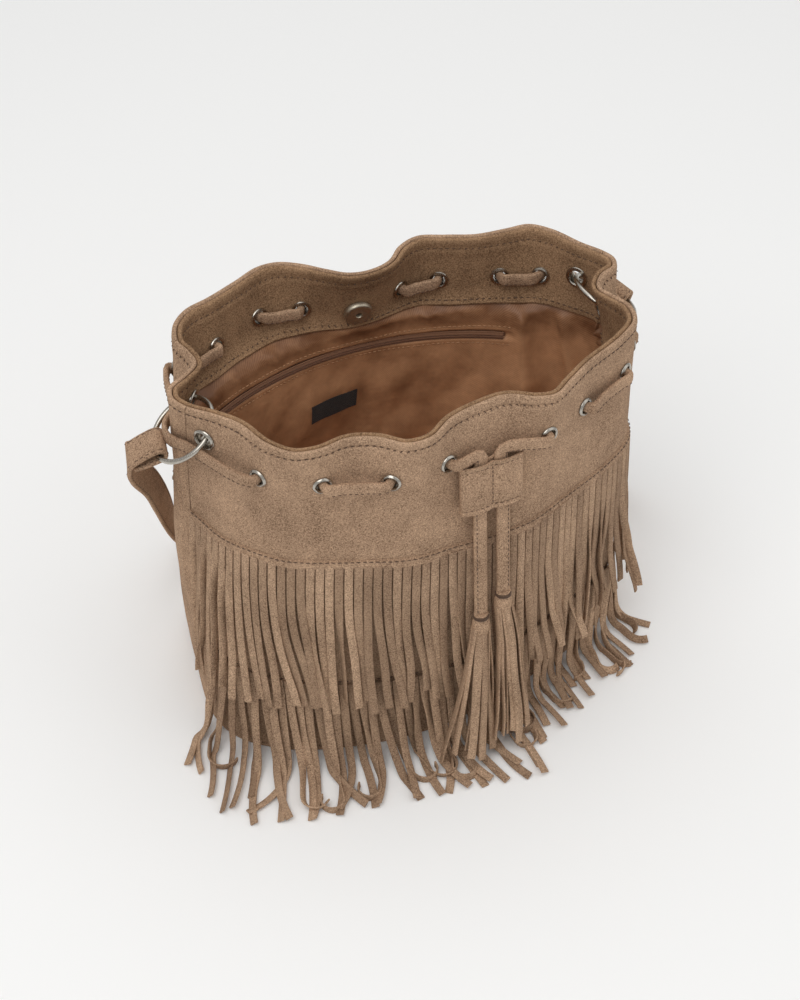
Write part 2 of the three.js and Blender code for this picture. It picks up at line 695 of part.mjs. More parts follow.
const leftRing = ringFrame(leftRingEyelets, LEFT_DROOP);
const rightRing = ringFrame(rightRingEyelets, RIGHT_DROOP);
for (const [name, frame] of [['left_ring', leftRing], ['right_ring', rightRing]]) {
  const ring = add(name, new THREE.TorusGeometry(RING.radius, RING.wire, 8, 36), nickel());
  ring.applyMatrix4(new THREE.Matrix4().makeBasis(frame.out, frame.level, frame.axis)
    .setPosition(frame.centre));
}

// ---- Strap --------------------------------------------------------------------------------

// Points of the strap's end: a short tail, the turn round the ring's wire, and the long side,
// which lies over the tail where the side is 1 and under it where it is -1.
function strapEnd(frame, angle, down, overlap, side) {
  const wire = ringPoint(frame, angle);
  const width = frame.level.clone().multiplyScalar(Math.cos(angle))
    .addScaledVector(frame.out, -Math.sin(angle)).normalize();
  const run = down.clone().addScaledVector(width, -down.dot(width)).normalize();
  const face = new THREE.Vector3().crossVectors(width, run);
  // The ring curves away across the strap's width, so the fold stands clear of that curve.
  const bow = RING.radius - Math.sqrt(RING.radius ** 2 - (STRAP.width / 2) ** 2);
  const radial = wire.clone().sub(frame.centre).normalize();
  const fold = Math.min(0, -bow * radial.dot(run)) - 0.3;
  const lean = -bow * radial.dot(face) / 2;
  const turn = RING.wire + 0.6 + STRAP.thick / 2 + Math.abs(lean);
  const ply = (STRAP.thick + 0.4) / 2;
  const half = [
    ...[overlap, 24].filter((along) => along > 15 && along <= overlap).map((along) => [along, 0, ply]),
    [15, lean * 0.4, ply + 0.3], [8, lean, turn - 0.5], [3, lean, turn], [fold, lean, turn],
    [fold - 0.71 * turn, lean, 0.71 * turn],
  ];
  const stations = [
    ...half.map(([along, middle, across]) => [along, middle - side * across]),
    [fold - turn, lean],
    ...half.toReversed().map(([along, middle, across]) => [along, middle + side * across]),
  ];
  const points = stations.map(([along, across]) => wire.clone()
    .addScaledVector(run, along).addScaledVector(face, across));
  return { points, width };
}

const vectors = (rows) => rows.map((row) => new THREE.Vector3(...row));
const leftEnd = strapEnd(leftRing, THREE.MathUtils.degToRad(12),
  new THREE.Vector3(-0.9, 0.05, -0.42), STRAP.leftOverlap, 1);
const rightEnd = strapEnd(rightRing, THREE.MathUtils.degToRad(-34),
  new THREE.Vector3(0.1, 0.1, -0.97), STRAP.rightOverlap, -1);
rightEnd.width.negate();

// From the left ring down the side, along the floor behind the bag and up to the right ring.
const STRAP_ROUTE = vectors([
  [-169, -5, 201], [-166, 3, 186], [-157, 16, 162], [-151, 32, 134], [-146, 50, 104],
  [-141, 70, 72], [-134, 92, 40], [-121, 113, 15], [-101, 131, 3.2], [-66, 148, 1.5],
  [-20, 161, 1.5], [30, 166, 1.5], [76, 161, 1.5], [120, 146, 1.5],
  [153, 125, 3.2], [170, 98, 22], [171, 80, 62], [167, 72, 110], [162, 68, 155],
]);
const STRAP_WIDTHS = vectors([
  [0.2, 0.95, 0.3], [0.3, 0.9, 0.3], [0.4, 0.85, 0.35], [0.45, 0.8, 0.4], [0.4, 0.8, 0.4],
  [0.25, 0.85, 0.4], [0, 0.85, 0.5], [-0.4, 0.85, 0.3], [-0.6, 0.8, 0], [-0.4, 0.92, 0],
  [-0.2, 0.98, 0], [0, 1, 0], [0.2, 0.98, 0], [0.5, 0.85, 0],
  [0.75, 0.65, 0], [0.85, 0.5, 0.1], [0.6, 0.8, 0.1], [0.2, 0.97, 0.1], [0, 0.99, 0.1],
]);

function ribbon(points, widths, width, thick) {
  return loft(points.map((point, i) => {
    const before = points[Math.max(i - 1, 0)];
    const after = points[Math.min(i + 1, points.length - 1)];
    const along = after.clone().sub(before).normalize();
    const across = widths[i].clone().addScaledVector(along, -widths[i].dot(along)).normalize();
    const face = new THREE.Vector3().crossVectors(across, along);
    const corner = (side, ply) => point.clone()
      .addScaledVector(across, side * width / 2).addScaledVector(face, ply * thick / 2);
    return [corner(1, 1), corner(-1, 1), corner(-1, -1), corner(1, -1)];
  }));
}

function strapLine() {
  const from = leftEnd.points.at(-1);
  const to = rightEnd.points.at(-1);
  const run = new THREE.CatmullRomCurve3([leftEnd.points.at(-2), from, ...STRAP_ROUTE, to,
    rightEnd.points.at(-2)], false, 'centripetal');
  const turnCurve = new THREE.CatmullRomCurve3([leftEnd.width, leftEnd.width, ...STRAP_WIDTHS,
    rightEnd.width, rightEnd.width], false, 'centripetal');
  const spans = STRAP_ROUTE.length + 3;
  const steps = 44;
  const points = [];
  const widths = [];
  for (let i = 1; i < steps; i += 1) {
    const t = (1 + (spans - 2) * i / steps) / spans;
    points.push(run.getPoint(t));
    widths.push(turnCurve.getPoint(t));
  }
  return {
    points: [...leftEnd.points, ...points, ...rightEnd.points.toReversed()],
    widths: [...leftEnd.points.map(() => leftEnd.width), ...widths,
      ...rightEnd.points.map(() => rightEnd.width)],
  };
}

const strap = strapLine();
add('strap', ribbon(strap.points, strap.widths, STRAP.width, STRAP.thick), suede());

// ---- Drawcord, keeper and tassels ---------------------------------------------------------

// Tails hang along this leaning direction, and the keeper slides along it.
const tailRun = new THREE.Vector3(0, -KEEPER.lean, -1).normalize();
const keeperAcross = new THREE.Vector3(Math.cos(KEEPER.yaw), Math.sin(KEEPER.yaw), 0);
const keeperCentre = new THREE.Vector3(KEEPER.x, KEEPER.y, KEEPER.z);
const tailPoint = (side, z) => keeperCentre.clone()
  .addScaledVector(keeperAcross, side * CHANNEL_SPACING / 2)
  .addScaledVector(tailRun, (z - KEEPER.z) / tailRun.z);

const COLLAR_TOP = { left: 112, right: 124 };

// A curve through its own points, one step to each.
class Route extends THREE.Curve {
  constructor(points) {
    super();
    this.points = points;
  }

  getPoint(t) {
    const at = t * (this.points.length - 1);
    const i = Math.min(Math.floor(at + 1e-6), this.points.length - 2);
    return this.points[i].clone().lerp(this.points[i + 1], at - i);
  }

  getPointAt(t) {
    return this.getPoint(t);
  }

  getTangentAt(t) {
    const i = Math.round(t * (this.points.length - 1));
    const before = this.points[Math.max(i - 1, 0)];
    const after = this.points[Math.min(i + 1, this.points.length - 1)];
    return after.clone().sub(before).normalize();
  }
}

const CORD_OUTSIDE = 5.6;
const CORD_INSIDE = -10.8;
const CORD_SPAN_OUTSIDE = 4.8;
const CORD_SPAN_INSIDE = -8.6;
const LONG_SPAN_DROP = 3;
const LONG_SPAN_OUTSIDE = 3.7;

// The cord's three points through an eyelet: on the side it comes from, in the hole, and beyond.
function throughEyelet(frame, from, to, startsOutside) {
  const middle = frame.point.clone().addScaledVector(frame.direction, -2.6);
  const side = (neighbour, outside) => {
    const aim = neighbour.clone().sub(frame.point);
    aim.addScaledVector(frame.direction, -aim.dot(frame.direction)).normalize();
    return frame.point.clone().addScaledVector(frame.direction, outside ? CORD_OUTSIDE : CORD_INSIDE)
      .addScaledVector(aim, 1.9);
  };
  return [side(from, startsOutside), middle, side(to, !startsOutside)];
}

function spanPoints(first, second, outside) {
  let gap = second.place - first.place;
  gap -= 4 * Math.round(gap / 4);
  const chord = second.point.clone().sub(first.point);
  const long = Math.abs(gap) > 0.3;
  const shares = long ? [0.12, 0.26, 0.4, 0.52, 0.64, 0.76, 0.88] : [0.5];
  return shares.map((share) => {
    const place = first.place + gap * share;
    const z = CORD_HOLE_Z - (long ? LONG_SPAN_DROP * Math.sin(Math.PI * share) ** 0.5 : 0);
    const { point, outward: direction } = wallFrame(place, z);
    const least = outside ? CORD_SPAN_OUTSIDE : CORD_SPAN_INSIDE;
    const straight = first.point.clone().addScaledVector(chord, share).setZ(z)
      .addScaledVector(direction, least).sub(point).dot(direction);
    const distance = outside ? Math.max(straight, least) : Math.min(straight, least);
    return point.addScaledVector(direction, long ? LONG_SPAN_OUTSIDE : distance);
  });
}

function drawcordPoints() {
  const order = [3, 2, 1, 0, 15, 14, 13, 12, 11, 10, 9, 8, 7, 6, 5, 4].map((i) => cordEyelets[i]);
  const aboveKeeper = KEEPER.z + KEEPER.height / 2 + 5;
  const leftTop = tailPoint(-1, aboveKeeper);
  const rightTop = tailPoint(1, aboveKeeper);
  const points = [tailPoint(-1, COLLAR_TOP.left + SEAM_GAP), tailPoint(-1, 150), leftTop];
  order.forEach((frame, i) => {
    const from = i === 0 ? leftTop : order[i - 1].point;
    const to = i === order.length - 1 ? rightTop : order[i + 1].point;
    points.push(...throughEyelet(frame, from, to, i % 2 === 0));
    if (i < order.length - 1) {
      points.push(...spanPoints(frame, order[i + 1], i % 2 === 1));
    }
  });
  points.push(rightTop, tailPoint(1, 160), tailPoint(1, COLLAR_TOP.right + SEAM_GAP));
  return points;
}

const ring = (radius, sides) => Array.from({ length: sides }, (_, i) => new THREE.Vector2(
  radius * Math.cos(2 * Math.PI * i / sides), radius * Math.sin(2 * Math.PI * i / sides)));
const cordPoints = drawcordPoints();
add('drawcord', new THREE.ExtrudeGeometry(new THREE.Shape(ring(CORD_RADIUS, 8)), {
  steps: cordPoints.length - 1, extrudePath: new Route(cordPoints), bevelEnabled: false,
}), suede());

function keeperGeometry() {
  const [w, t, r] = [KEEPER.width / 2, KEEPER.thick / 2, 2.5];
  const outline = new THREE.Shape()
    .moveTo(-w + r, -t).lineTo(w - r, -t).quadraticCurveTo(w, -t, w, -t + r)
    .lineTo(w, t - r).quadraticCurveTo(w, t, w - r, t)
    .lineTo(-w + r, t).quadraticCurveTo(-w, t, -w, t - r)
    .lineTo(-w, -t + r).quadraticCurveTo(-w, -t, -w + r, -t);
  const bore = CORD_RADIUS + CHANNEL_CLEARANCE;
  for (const side of [-1, 1]) {
    outline.holes.push(new THREE.Path(ring(bore, 10).reverse()
      .map((point) => point.add(new THREE.Vector2(side * CHANNEL_SPACING / 2, 0)))));
  }
  return new THREE.ExtrudeGeometry(outline, { depth: KEEPER.height, bevelEnabled: false, curveSegments: 3 })
    .translate(0, 0, -KEEPER.height / 2);
}

const keeper = add('cord_keeper', keeperGeometry(), suede());
const keeperUp = tailRun.clone().negate();
keeper.applyMatrix4(new THREE.Matrix4()
  .makeBasis(keeperAcross, new THREE.Vector3().crossVectors(keeperUp, keeperAcross).normalize(), keeperUp)
  .setPosition(keeperCentre));

// Hanging strips of a tassel as one soft solid, by [z, half width, half depth] down its length.
function tasselStrips(centres, halves) {
  const sides = 10;
  return loft(centres.map((centre, i) => {
    const [wide, deep] = halves[i];
    return Array.from({ length: sides }, (_, j) => {
      const angle = 2 * Math.PI * (j + 0.5) / sides;
      return centre.clone().add(new THREE.Vector3(
        wide * Math.cos(angle), deep * Math.sin(angle) * 0.9, deep * Math.sin(angle) * 0.45));
    });
  }));
}

const TASSEL_HALVES = [[4.4, 4.2], [4.8, 4.4], [5.6, 4.4], [7, 4.2], [8, 3.8], [8, 3.2]];
const TASSEL_ROUTES = {
  left: vectors([[22, -94.5, 94], [21, -97.5, 74], [18, -100, 50], [13, -104.5, 30], [9, -112, 16],
    [6, -124, 7]]),
  right: vectors([[38.5, -92, 106], [40, -95, 84], [42, -97.5, 58], [46, -100.5, 36],
    [49, -106.5, 20], [52, -118, 8]]),
};
for (const [name, side] of [['left', -1], ['right', 1]]) {
  const top = tailPoint(side, COLLAR_TOP[name]);
  const collar = new THREE.CylinderGeometry(
    TASSEL.collarRadius, TASSEL.collarRadius, TASSEL.collarHeight, 14);
  const mesh = add(`${name}_tassel_collar`, collar, suede());
  mesh.quaternion.setFromUnitVectors(new THREE.Vector3(0, 1, 0), keeperUp);
  mesh.position.copy(top.addScaledVector(tailRun, TASSEL.collarHeight / 2));
  add(`${name}_tassel_strips`, tasselStrips(TASSEL_ROUTES[name], TASSEL_HALVES), suede());
}

// ---- Fringes ------------------------------------------------------------------------------

const fringePlaces = placesBetween(0.004, 0.996);
const FRINGE_THICK = 2.5;
add('upper_fringe', hangingBand(fringePlaces, [
  [2.1, YOKE_SEAM_Z - 2], [2.3, 140], [3, 112], [4.6, 80], [6.6, 57], [8.2, 42],
], FRINGE_THICK), suede());
add('lower_fringe', hangingBand(fringePlaces, [
  [2.2, LOWER_FRINGE_SEAM_Z], [3.2, 44], [7, 28], [14, 15], [25, 6], [38, 1.3], [46, 1.3],
], FRINGE_THICK), suede());

export default bag;
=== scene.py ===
# Fringed suede drawstring bag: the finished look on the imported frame.
# Lengths are in millimetres until a mesh is made, and a mesh is in metres.
import math

import bpy
import numpy as np
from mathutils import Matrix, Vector


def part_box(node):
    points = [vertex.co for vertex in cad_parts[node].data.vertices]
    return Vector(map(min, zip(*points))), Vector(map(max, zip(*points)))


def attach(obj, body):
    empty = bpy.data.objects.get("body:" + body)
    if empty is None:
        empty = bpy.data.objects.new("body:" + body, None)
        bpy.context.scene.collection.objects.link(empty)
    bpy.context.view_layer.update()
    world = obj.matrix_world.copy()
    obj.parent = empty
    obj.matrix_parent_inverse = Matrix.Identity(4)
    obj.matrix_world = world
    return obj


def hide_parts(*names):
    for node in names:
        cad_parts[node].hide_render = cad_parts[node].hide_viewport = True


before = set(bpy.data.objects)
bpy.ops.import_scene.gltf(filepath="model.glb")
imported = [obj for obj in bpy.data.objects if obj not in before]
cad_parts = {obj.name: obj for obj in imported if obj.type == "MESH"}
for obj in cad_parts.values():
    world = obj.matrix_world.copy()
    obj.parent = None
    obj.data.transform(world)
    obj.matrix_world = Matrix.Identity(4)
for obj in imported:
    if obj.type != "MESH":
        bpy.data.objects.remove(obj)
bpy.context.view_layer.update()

MM = 0.001
UP = np.array([0.0, 0.0, 1.0])


# ---- Driving dimensions ---------------------------------------------------------------------

HEIGHT = 255
YOKE_SEAM_Z = 160
LOWER_SEAM_Z = 57
FACING_EDGE_Z = 208
FACING_STITCH_Z = 211.3
CORD_HOLE_Z = 225
RING_HOLE_Z = 233
RIM_STITCH_Z = 249.6
EYELET_HOLE = 5.0
SUEDE = 1.6
WALL_THICK = 2.3
FACING_IN = 3.4
LINING_IN = 4.2
STITCH_PITCH = 4.0

CORD_PLACES = [0.155, 0.265, 0.38, 0.49, 0.675, 0.77, 0.885, 0.968,
               2.13, 2.22, 2.335, 2.435, 2.64, 2.74, 2.855, 2.945]
LEFT_RING_PLACES = [0.038, 3.38]
RIGHT_RING_PLACES = [2.05, 1.36]
RING_RADIUS = 21.2
RING_WIRE = 1.6
SNAP_PLACES = {"front": 0.583, "back": 2.53}
SNAP_Z = 223.0
LABEL_PLACE = 2.575
LABEL_Z = 143
LABEL_SIZE = (36, 16)
LEFT_DROOP = math.radians(34)
RIGHT_DROOP = math.radians(33)

ZIP_AXIS = np.array([14.0, -110.0])
ZIP_RADIUS = 193
ZIP_Z = 186
# The satin's painted shade is full from this height up.
PAINTED_SHADE_Z = 200
ZIP_FROM = math.radians(-44.5)
ZIP_TO = math.radians(21)

KEEPER = np.array([30.5, -79.4, 206.5])
KEEPER_YAW = 0.18
KEEPER_SIZE = (40, 33, 8.4)
KEEPER_PLY = 1.4
TAIL_LEAN = 0.13
TAIL_SPACING = 15
COLLAR_TOP = {"left": 112, "right": 124}
STRAP_WIDTH = 20
STRAP_THICK = 2.6

# Plan outlines of the wall at its foot, its middle and its rim, from seam to seam.
BASE_OUTLINE = {
    "front": [(-134, -48), (-125, -61), (-111, -71), (-90, -80), (-60, -85), (-28, -86), (8, -81),
        (42, -69), (72, -55), (98, -41), (120, -27), (135, -10)],
    "right": [(135, -10), (140, 8), (141, 30), (139, 50), (133, 68)],
    "back": [(133, 68), (122, 78), (60, 81), (0, 82), (-60, 81), (-122, 78), (-133, 68)],
    "left": [(-133, 68), (-139, 47), (-140, 5), (-139, -30), (-134, -48)],
}
MIDDLE_OUTLINE = {
    "front": [(-137, -10), (-122, -40), (-100, -60), (-75, -72), (-50, -79), (-22, -83),
        (10, -82), (45, -76), (72, -63), (96, -48), (118, -34), (138, -14), (144, 8)],
    "right": [(144, 8), (146, 20), (144, 33), (139, 44)],
    "back": [(139, 44), (126, 56), (103, 70), (75, 81), (43, 91), (8, 94), (-30, 91), (-60, 82),
        (-88, 67), (-111, 50), (-130, 34), (-142, 18)],
    "left": [(-142, 18), (-146, 9), (-144, -1), (-137, -10)],
}
RIM_OUTLINE = {
    "front": [(-136, -28), (-122, -38), (-110, -49), (-99, -68), (-85, -80), (-69, -81),
        (-52, -76), (-37, -79), (-22, -88), (-6, -86), (9, -73), (25, -66), (43, -62), (60, -68),
        (72, -68), (85, -57), (99, -45), (124, -28), (137, -14), (138, 0), (131, 12)],
    "right": [(131, 12), (126, 21), (131, 31), (141, 38), (143, 46), (139, 54)],
    "back": [(139, 54), (128, 66), (115, 83), (102, 92), (86, 91), (67, 90), (48, 94), (31, 97),
        (18, 90), (8, 77), (-5, 71), (-18, 71), (-31, 78), (-45, 87), (-59, 92), (-72, 90),
        (-87, 80), (-106, 68), (-121, 60), (-130, 48), (-132, 32)],
    "left": [(-132, 32), (-127, 20), (-125, 10), (-133, 1), (-142, -7), (-143, -18), (-136, -28)],
}


# ---- The wall, by place round the bag and height ----------------------------------------------

# Place 0 to 1 is the front, 1 to 2 the right side, 2 to 3 the back and 3 to 4 the left side.
SECTIONS = ["front", "right", "back", "left"]
SAMPLES = 240


def unit(v):
    """Directions of length one."""
    return v / np.maximum(np.linalg.norm(v, axis=-1, keepdims=True), 1e-9)


def smooth(x, low, high):
    """A step from 0 to 1 between low and high, with soft ends."""
    t = np.clip((x - low) / (high - low), 0, 1)
    return t * t * (3 - 2 * t)


def run_along(line):
    """How far along a line each of its points lies."""
    return np.concatenate([[0], np.cumsum(np.linalg.norm(np.diff(line, axis=0), axis=1))])


def read_at(at, run, table):
    """A table that goes with a line's points, read at so far along the line."""
    return np.stack([np.interp(at, run, column) for column in table.T], -1)


def circle(count):
    """Evenly spaced angles of a full turn."""
    return np.linspace(0, 2 * math.pi, count + 1)[:-1]


def spline(points, closed=False, steps=12):
    """A centripetal curve through the points, with so many steps from each to the next."""
    p = np.array(points, float)
    if closed:
        p = np.vstack([p[-1], p, p[0], p[1]])
    else:
        p = np.vstack([2 * p[0] - p[1], p, 2 * p[-1] - p[-2]])
    out = []
    t = np.linspace(0, 1, steps, endpoint=False)[:, None]
    for i in range(len(p) - 3):
        a, b, c, d = p[i:i + 4]
        ab, bc, cd = [max(np.linalg.norm(v) ** 0.5, 1e-4) for v in (b - a, c - b, d - c)]
        start = ((b - a) / ab - (c - a) / (ab + bc) + (c - b) / bc) * bc
        end = ((c - b) / bc - (d - b) / (bc + cd) + (d - c) / cd) * bc
        out.append(b + start * t + (3 * (c - b) - 2 * start - end) * t ** 2
                   + (2 * (b - c) + start + end) * t ** 3)
    if not closed:
        out.append(p[-2][None])
    return np.vstack(out)


def outline_tables(outline):
    """For each section of an outline, its share of length and its points."""
    corners = [q for name in SECTIONS for q in outline[name][:-1]]
    line = spline(corners, closed=True, steps=SAMPLES // 4)
    line = np.vstack([line, line[:1]])
    tables = []
    start = 0
    for name in SECTIONS:
        count = (len(outline[name]) - 1) * (SAMPLES // 4)
        part = line[start:start + count + 1]
        length = run_along(part)
        tables.append((length / length[-1], part))
        start += count
    return tables


TABLES = [outline_tables(o) for o in (BASE_OUTLINE, MIDDLE_OUTLINE, RIM_OUTLINE)]


def outline_at(tables, place):
    """Points of one outline at places round the bag."""
    wrapped = np.mod(place, 4)
    out = np.zeros(np.shape(place) + (2,))
    for i, (share, part) in enumerate(tables):
        here = np.floor(wrapped).astype(int) == i
        for k in range(2):
            out[here, k] = np.interp(wrapped[here] - i, share, part[:, k])
    return out


def plan(place, z):
    """Where the outer suede surface stands, seen from above."""
    place, z = np.broadcast_arrays(np.asarray(place, float), np.asarray(z, float))
    base = (np.maximum(0, (130 - z) / 130) ** 2)[..., None]
    rim = (np.maximum(0, (z - 80) / 175) ** 2.6)[..., None]
    at = [outline_at(t, place) for t in TABLES]
    return at[0] * base + at[1] * (1 - base - rim) + at[2] * rim


def outward(place, z):
    """The level direction straight out of the wall."""
    along = plan(np.asarray(place) + 0.004, z) - plan(np.asarray(place) - 0.004, z)
    along /= np.linalg.norm(along, axis=-1, keepdims=True)
    return np.stack([along[..., 1], -along[..., 0]], -1)


def waves(values, seed, octaves=4):
    """Smooth noise of the given numbers, about -1 to 1, that is the same on each run."""
    rng = np.random.default_rng(seed)
    total = np.zeros(np.shape(values))
    for k in range(octaves):
        total += np.sin(values * rng.uniform(0.7, 1.4) * 2 ** k + rng.uniform(0, 6.28)) / 1.6 ** k
    return total / 1.7


def crease(place, z):
    """Soft creases of the suede: gathers that run down from the cord and slacken lower down."""
    place, z = np.broadcast_arrays(np.asarray(place, float), np.asarray(z, float))
    angle = place * math.pi / 2
    down = np.clip((z - 60) / 150, 0, 1) * np.clip((250 - z) / 25, 0, 1)
    fine = np.sin(angle * 22 + 0.9 * waves(z / 60, 3)) + 0.7 * np.sin(angle * 35 + z / 60)
    broad = waves(angle * 3 + z / 55, 8, 3)
    slack = np.clip((190 - z) / 120, 0, 1) * np.clip(z / 40, 0, 1)
    return 0.45 * fine * down + 1.1 * broad * slack


def wall(place, z, out=0.0):
    """Points held so far off the outer surface; a negative distance is inside the wall."""
    place, z, out = np.broadcast_arrays(
        np.asarray(place, float), np.asarray(z, float), np.asarray(out, float))
    flat = plan(place, z) + outward(place, z) * (out + crease(place, z))[..., None]
    return np.concatenate([flat, z[..., None]], -1)


def wall_frame(place, z):
    """A point of the wall with its directions along the wall and out of it."""
    point = wall(place, z)
    along = unit(wall(np.asarray(place) + 0.006, z) - wall(np.asarray(place) - 0.006, z))
    rise = unit(wall(place, np.asarray(z) + 6) - wall(place, np.asarray(z) - 6))
    return point, along, unit(np.cross(along, rise))


def section_length(section, z):
    """The length of the front, a side or the back at one height."""
    return run_along(plan(np.linspace(section, section + 1, 80), z))[-1]


# ---- Meshes -----------------------------------------------------------------------------------


def make_object(name, mesh):
    """An object in the scene that holds a mesh."""
    obj = bpy.data.objects.new(name, mesh)
    bpy.context.scene.collection.objects.link(obj)
    return obj


def build(name, points, faces, smooth_angle=40, uv=None):
    """A mesh object from points in millimetres, with its faces turned outwards."""
    points = np.asarray(points, float)
    tri = [(f[0], f[i], f[i + 1]) for f in faces for i in range(1, len(f) - 1)]
    a, b, c = (points[[t[i] for t in tri]] for i in range(3))
    if np.einsum("ij,ij->i", a, np.cross(b, c)).sum() < 0:
        faces = [tuple(reversed(f)) for f in faces]
    mesh = bpy.data.meshes.new(name)
    mesh.from_pydata((points * MM).tolist(), [], [tuple(int(i) for i in f) for f in faces])
    mesh.polygons.foreach_set("use_smooth", [True] * len(mesh.polygons))
    if smooth_angle:
        mesh.set_sharp_from_angle(angle=math.radians(smooth_angle))
    if uv is not None:
        layer = mesh.uv_layers.new(name="UVMap")
        loops = np.zeros(len(mesh.loops), int)
        mesh.loops.foreach_get("vertex_index", loops)
        layer.data.foreach_set("uv", (np.asarray(uv)[loops] * MM).ravel())
    return make_object(name, mesh)


def swept(name, loops, closed=False, smooth_angle=40):
    """A solid through matching loops of points, given as an array of loops by points by 3."""
    loops = np.asarray(loops, float)
    rows, size = loops.shape[:2]
    faces = []
    for i in range(rows if closed else rows - 1):
        here = i * size
        there = ((i + 1) % rows) * size
        faces += [(here + j, there + j, there + (j + 1) % size, here + (j + 1) % size)
                  for j in range(size)]
    if not closed:
        faces.append(tuple(range(size)))
        faces.append(tuple(reversed(range((rows - 1) * size, rows * size))))
    across = np.concatenate([np.zeros((rows, 1)), np.cumsum(
        np.linalg.norm(np.diff(loops, axis=1), axis=2), axis=1)], 1)
    uv = np.stack([np.repeat(run_along(loops[:, 0]), size), across.ravel()], -1)
    return build(name, loops.reshape(-1, 3), faces, smooth_angle, uv)


def wall_band(name, at, sections):
    """A piece of the wall: its section at each place is a closed list of (distance out, height)."""
    return swept(name, [wall(place, section[:, 1], section[:, 0])
                        for place, section in zip(at, np.array(sections, float))])


def joined(name, objects):
    """One mesh object from several."""
    points = []
    faces = []
    for obj in objects:
        start = len(points)
        points += [v.co / MM for v in obj.data.vertices]
        faces += [tuple(start + i for i in p.vertices) for p in obj.data.polygons]
        bpy.data.objects.remove(obj)
    return build(name, points, faces)


def finished(obj, material, body, *nodes, slot=None):
    """Gives a piece its material and body, and says which CAD nodes it stands for."""
    obj.data.materials.clear()
    obj.data.materials.append(material)
    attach(obj, body)
    if nodes:
        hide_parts(*nodes)
    return obj


def evaluated(obj):
    """The object with its modifiers made part of its mesh."""
    graph = bpy.context.evaluated_depsgraph_get()
    graph.update()
    mesh = bpy.data.meshes.new_from_object(obj.evaluated_get(graph), depsgraph=graph)
    obj.modifiers.clear()
    obj.data = mesh
    return obj


def pierced(obj, cutters):
    """Makes holes in an object where the cutters pass through it."""
    bars = joined("hole_cutters", cutters)
    modifier = obj.modifiers.new("holes", "BOOLEAN")
    modifier.operation = "DIFFERENCE"
    modifier.solver = "EXACT"
    modifier.object = bars
    evaluated(obj)
    bpy.data.objects.remove(bars)
    obj.data.polygons.foreach_set("use_smooth", [True] * len(obj.data.polygons))
    obj.data.set_sharp_from_angle(angle=math.radians(40))


def turned(name, point, axis, profile, steps=32):
    """A closed turned piece: its profile is (radius, height along the axis)."""
    axis = unit(np.asarray(axis, float))
    side = unit(np.cross(axis, UP if abs(axis[2]) < 0.9 else np.array([1.0, 0, 0])))
    other = np.cross(axis, side)
    loops = []
    for angle in circle(steps):
        ray = side * math.cos(angle) + other * math.sin(angle)
        loops.append([point + ray * r + axis * h for r, h in profile])
    return swept(name, loops, closed=True)


# ---- Finishes ---------------------------------------------------------------------------------


def shade(r, g, b):
    """A colour given in screen values, 0 to 255, as the shader takes it."""
    return tuple(((c / 255 + 0.055) / 1.055) ** 2.4 for c in (r, g, b)) + (1,)


def fill_node(tree, kind, values=None, **settings):
    """A node of a tree, with its settings and its inputs' values or links."""
    made = tree.nodes.new(kind)
    for key, value in settings.items():
        setattr(made, key, value)
    for key, value in (values or {}).items():
        if isinstance(value, bpy.types.NodeSocket):
            tree.links.new(value, made.inputs[key])
        else:
            made.inputs[key].default_value = value
    return made


class Finish:
    """A material and short ways to add its nodes."""

    def __init__(self, name, **settings):
        """Starts a material, with values for its shader's inputs."""
        self.material = bpy.data.materials.new(name)
        self.material.use_nodes = True
        self.tree = self.material.node_tree
        self.shader = self.tree.nodes["Principled BSDF"]
        for socket, value in settings.items():
            self.shader.inputs[socket.replace("_", " ")].default_value = value

    def node(self, kind, values=None, **settings):
        """A node of this material, with its settings and its inputs' values or links."""
        return fill_node(self.tree, kind, values, **settings)

    def coordinates(self, kind="Object", stretch=(1, 1, 1)):
        """Where the pattern is read: the piece's own place, or its run with "UV"."""
        source = self.node("ShaderNodeTexCoord").outputs[kind]
        return self.node("ShaderNodeMapping", {"Vector": source, "Scale": stretch}).outputs[0]

    def noise(self, scale, detail=3, roughness=0.6, vector=None):
        """Noise of a scale, read at the piece's own place unless another is given."""
        vector = vector or self.coordinates()
        return self.node("ShaderNodeTexNoise", {
            "Vector": vector, "Scale": scale, "Detail": detail,
            "Roughness": roughness}).outputs["Fac"]

    def ramp(self, value, low, high, first=0.0, last=1.0):
        """A value moved from one range to another."""
        return self.node("ShaderNodeMapRange", {
            "Value": value, "From Min": low, "From Max": high,
            "To Min": first, "To Max": last}).outputs[0]

    def mix(self, factor, first, second):
        """A colour between two others."""
        values = {0: factor, 6: first, 7: second}
        return self.node("ShaderNodeMix", values, data_type="RGBA").outputs[2]

    def math(self, kind, first, second):
        """A sum, difference or product of two values."""
        return self.node("ShaderNodeMath", {0: first, 1: second}, operation=kind).outputs[0]

    def colour(self, socket):
        """Links the shader's colour."""
        self.tree.links.new(socket, self.shader.inputs["Base Color"])

    def roughness(self, socket):
        """Links the shader's roughness."""
        self.tree.links.new(socket, self.shader.inputs["Roughness"])

    def bump(self, height, distance, strength=1.0, under=None):
        """Relief of the surface, laid over another relief if one is given."""
        values = {"Height": height, "Distance": distance, "Strength": strength}
        if under:
            values["Normal"] = under
        made = self.node("ShaderNodeBump", values).outputs[0]
        self.tree.links.new(made, self.shader.inputs["Normal"])
        return made


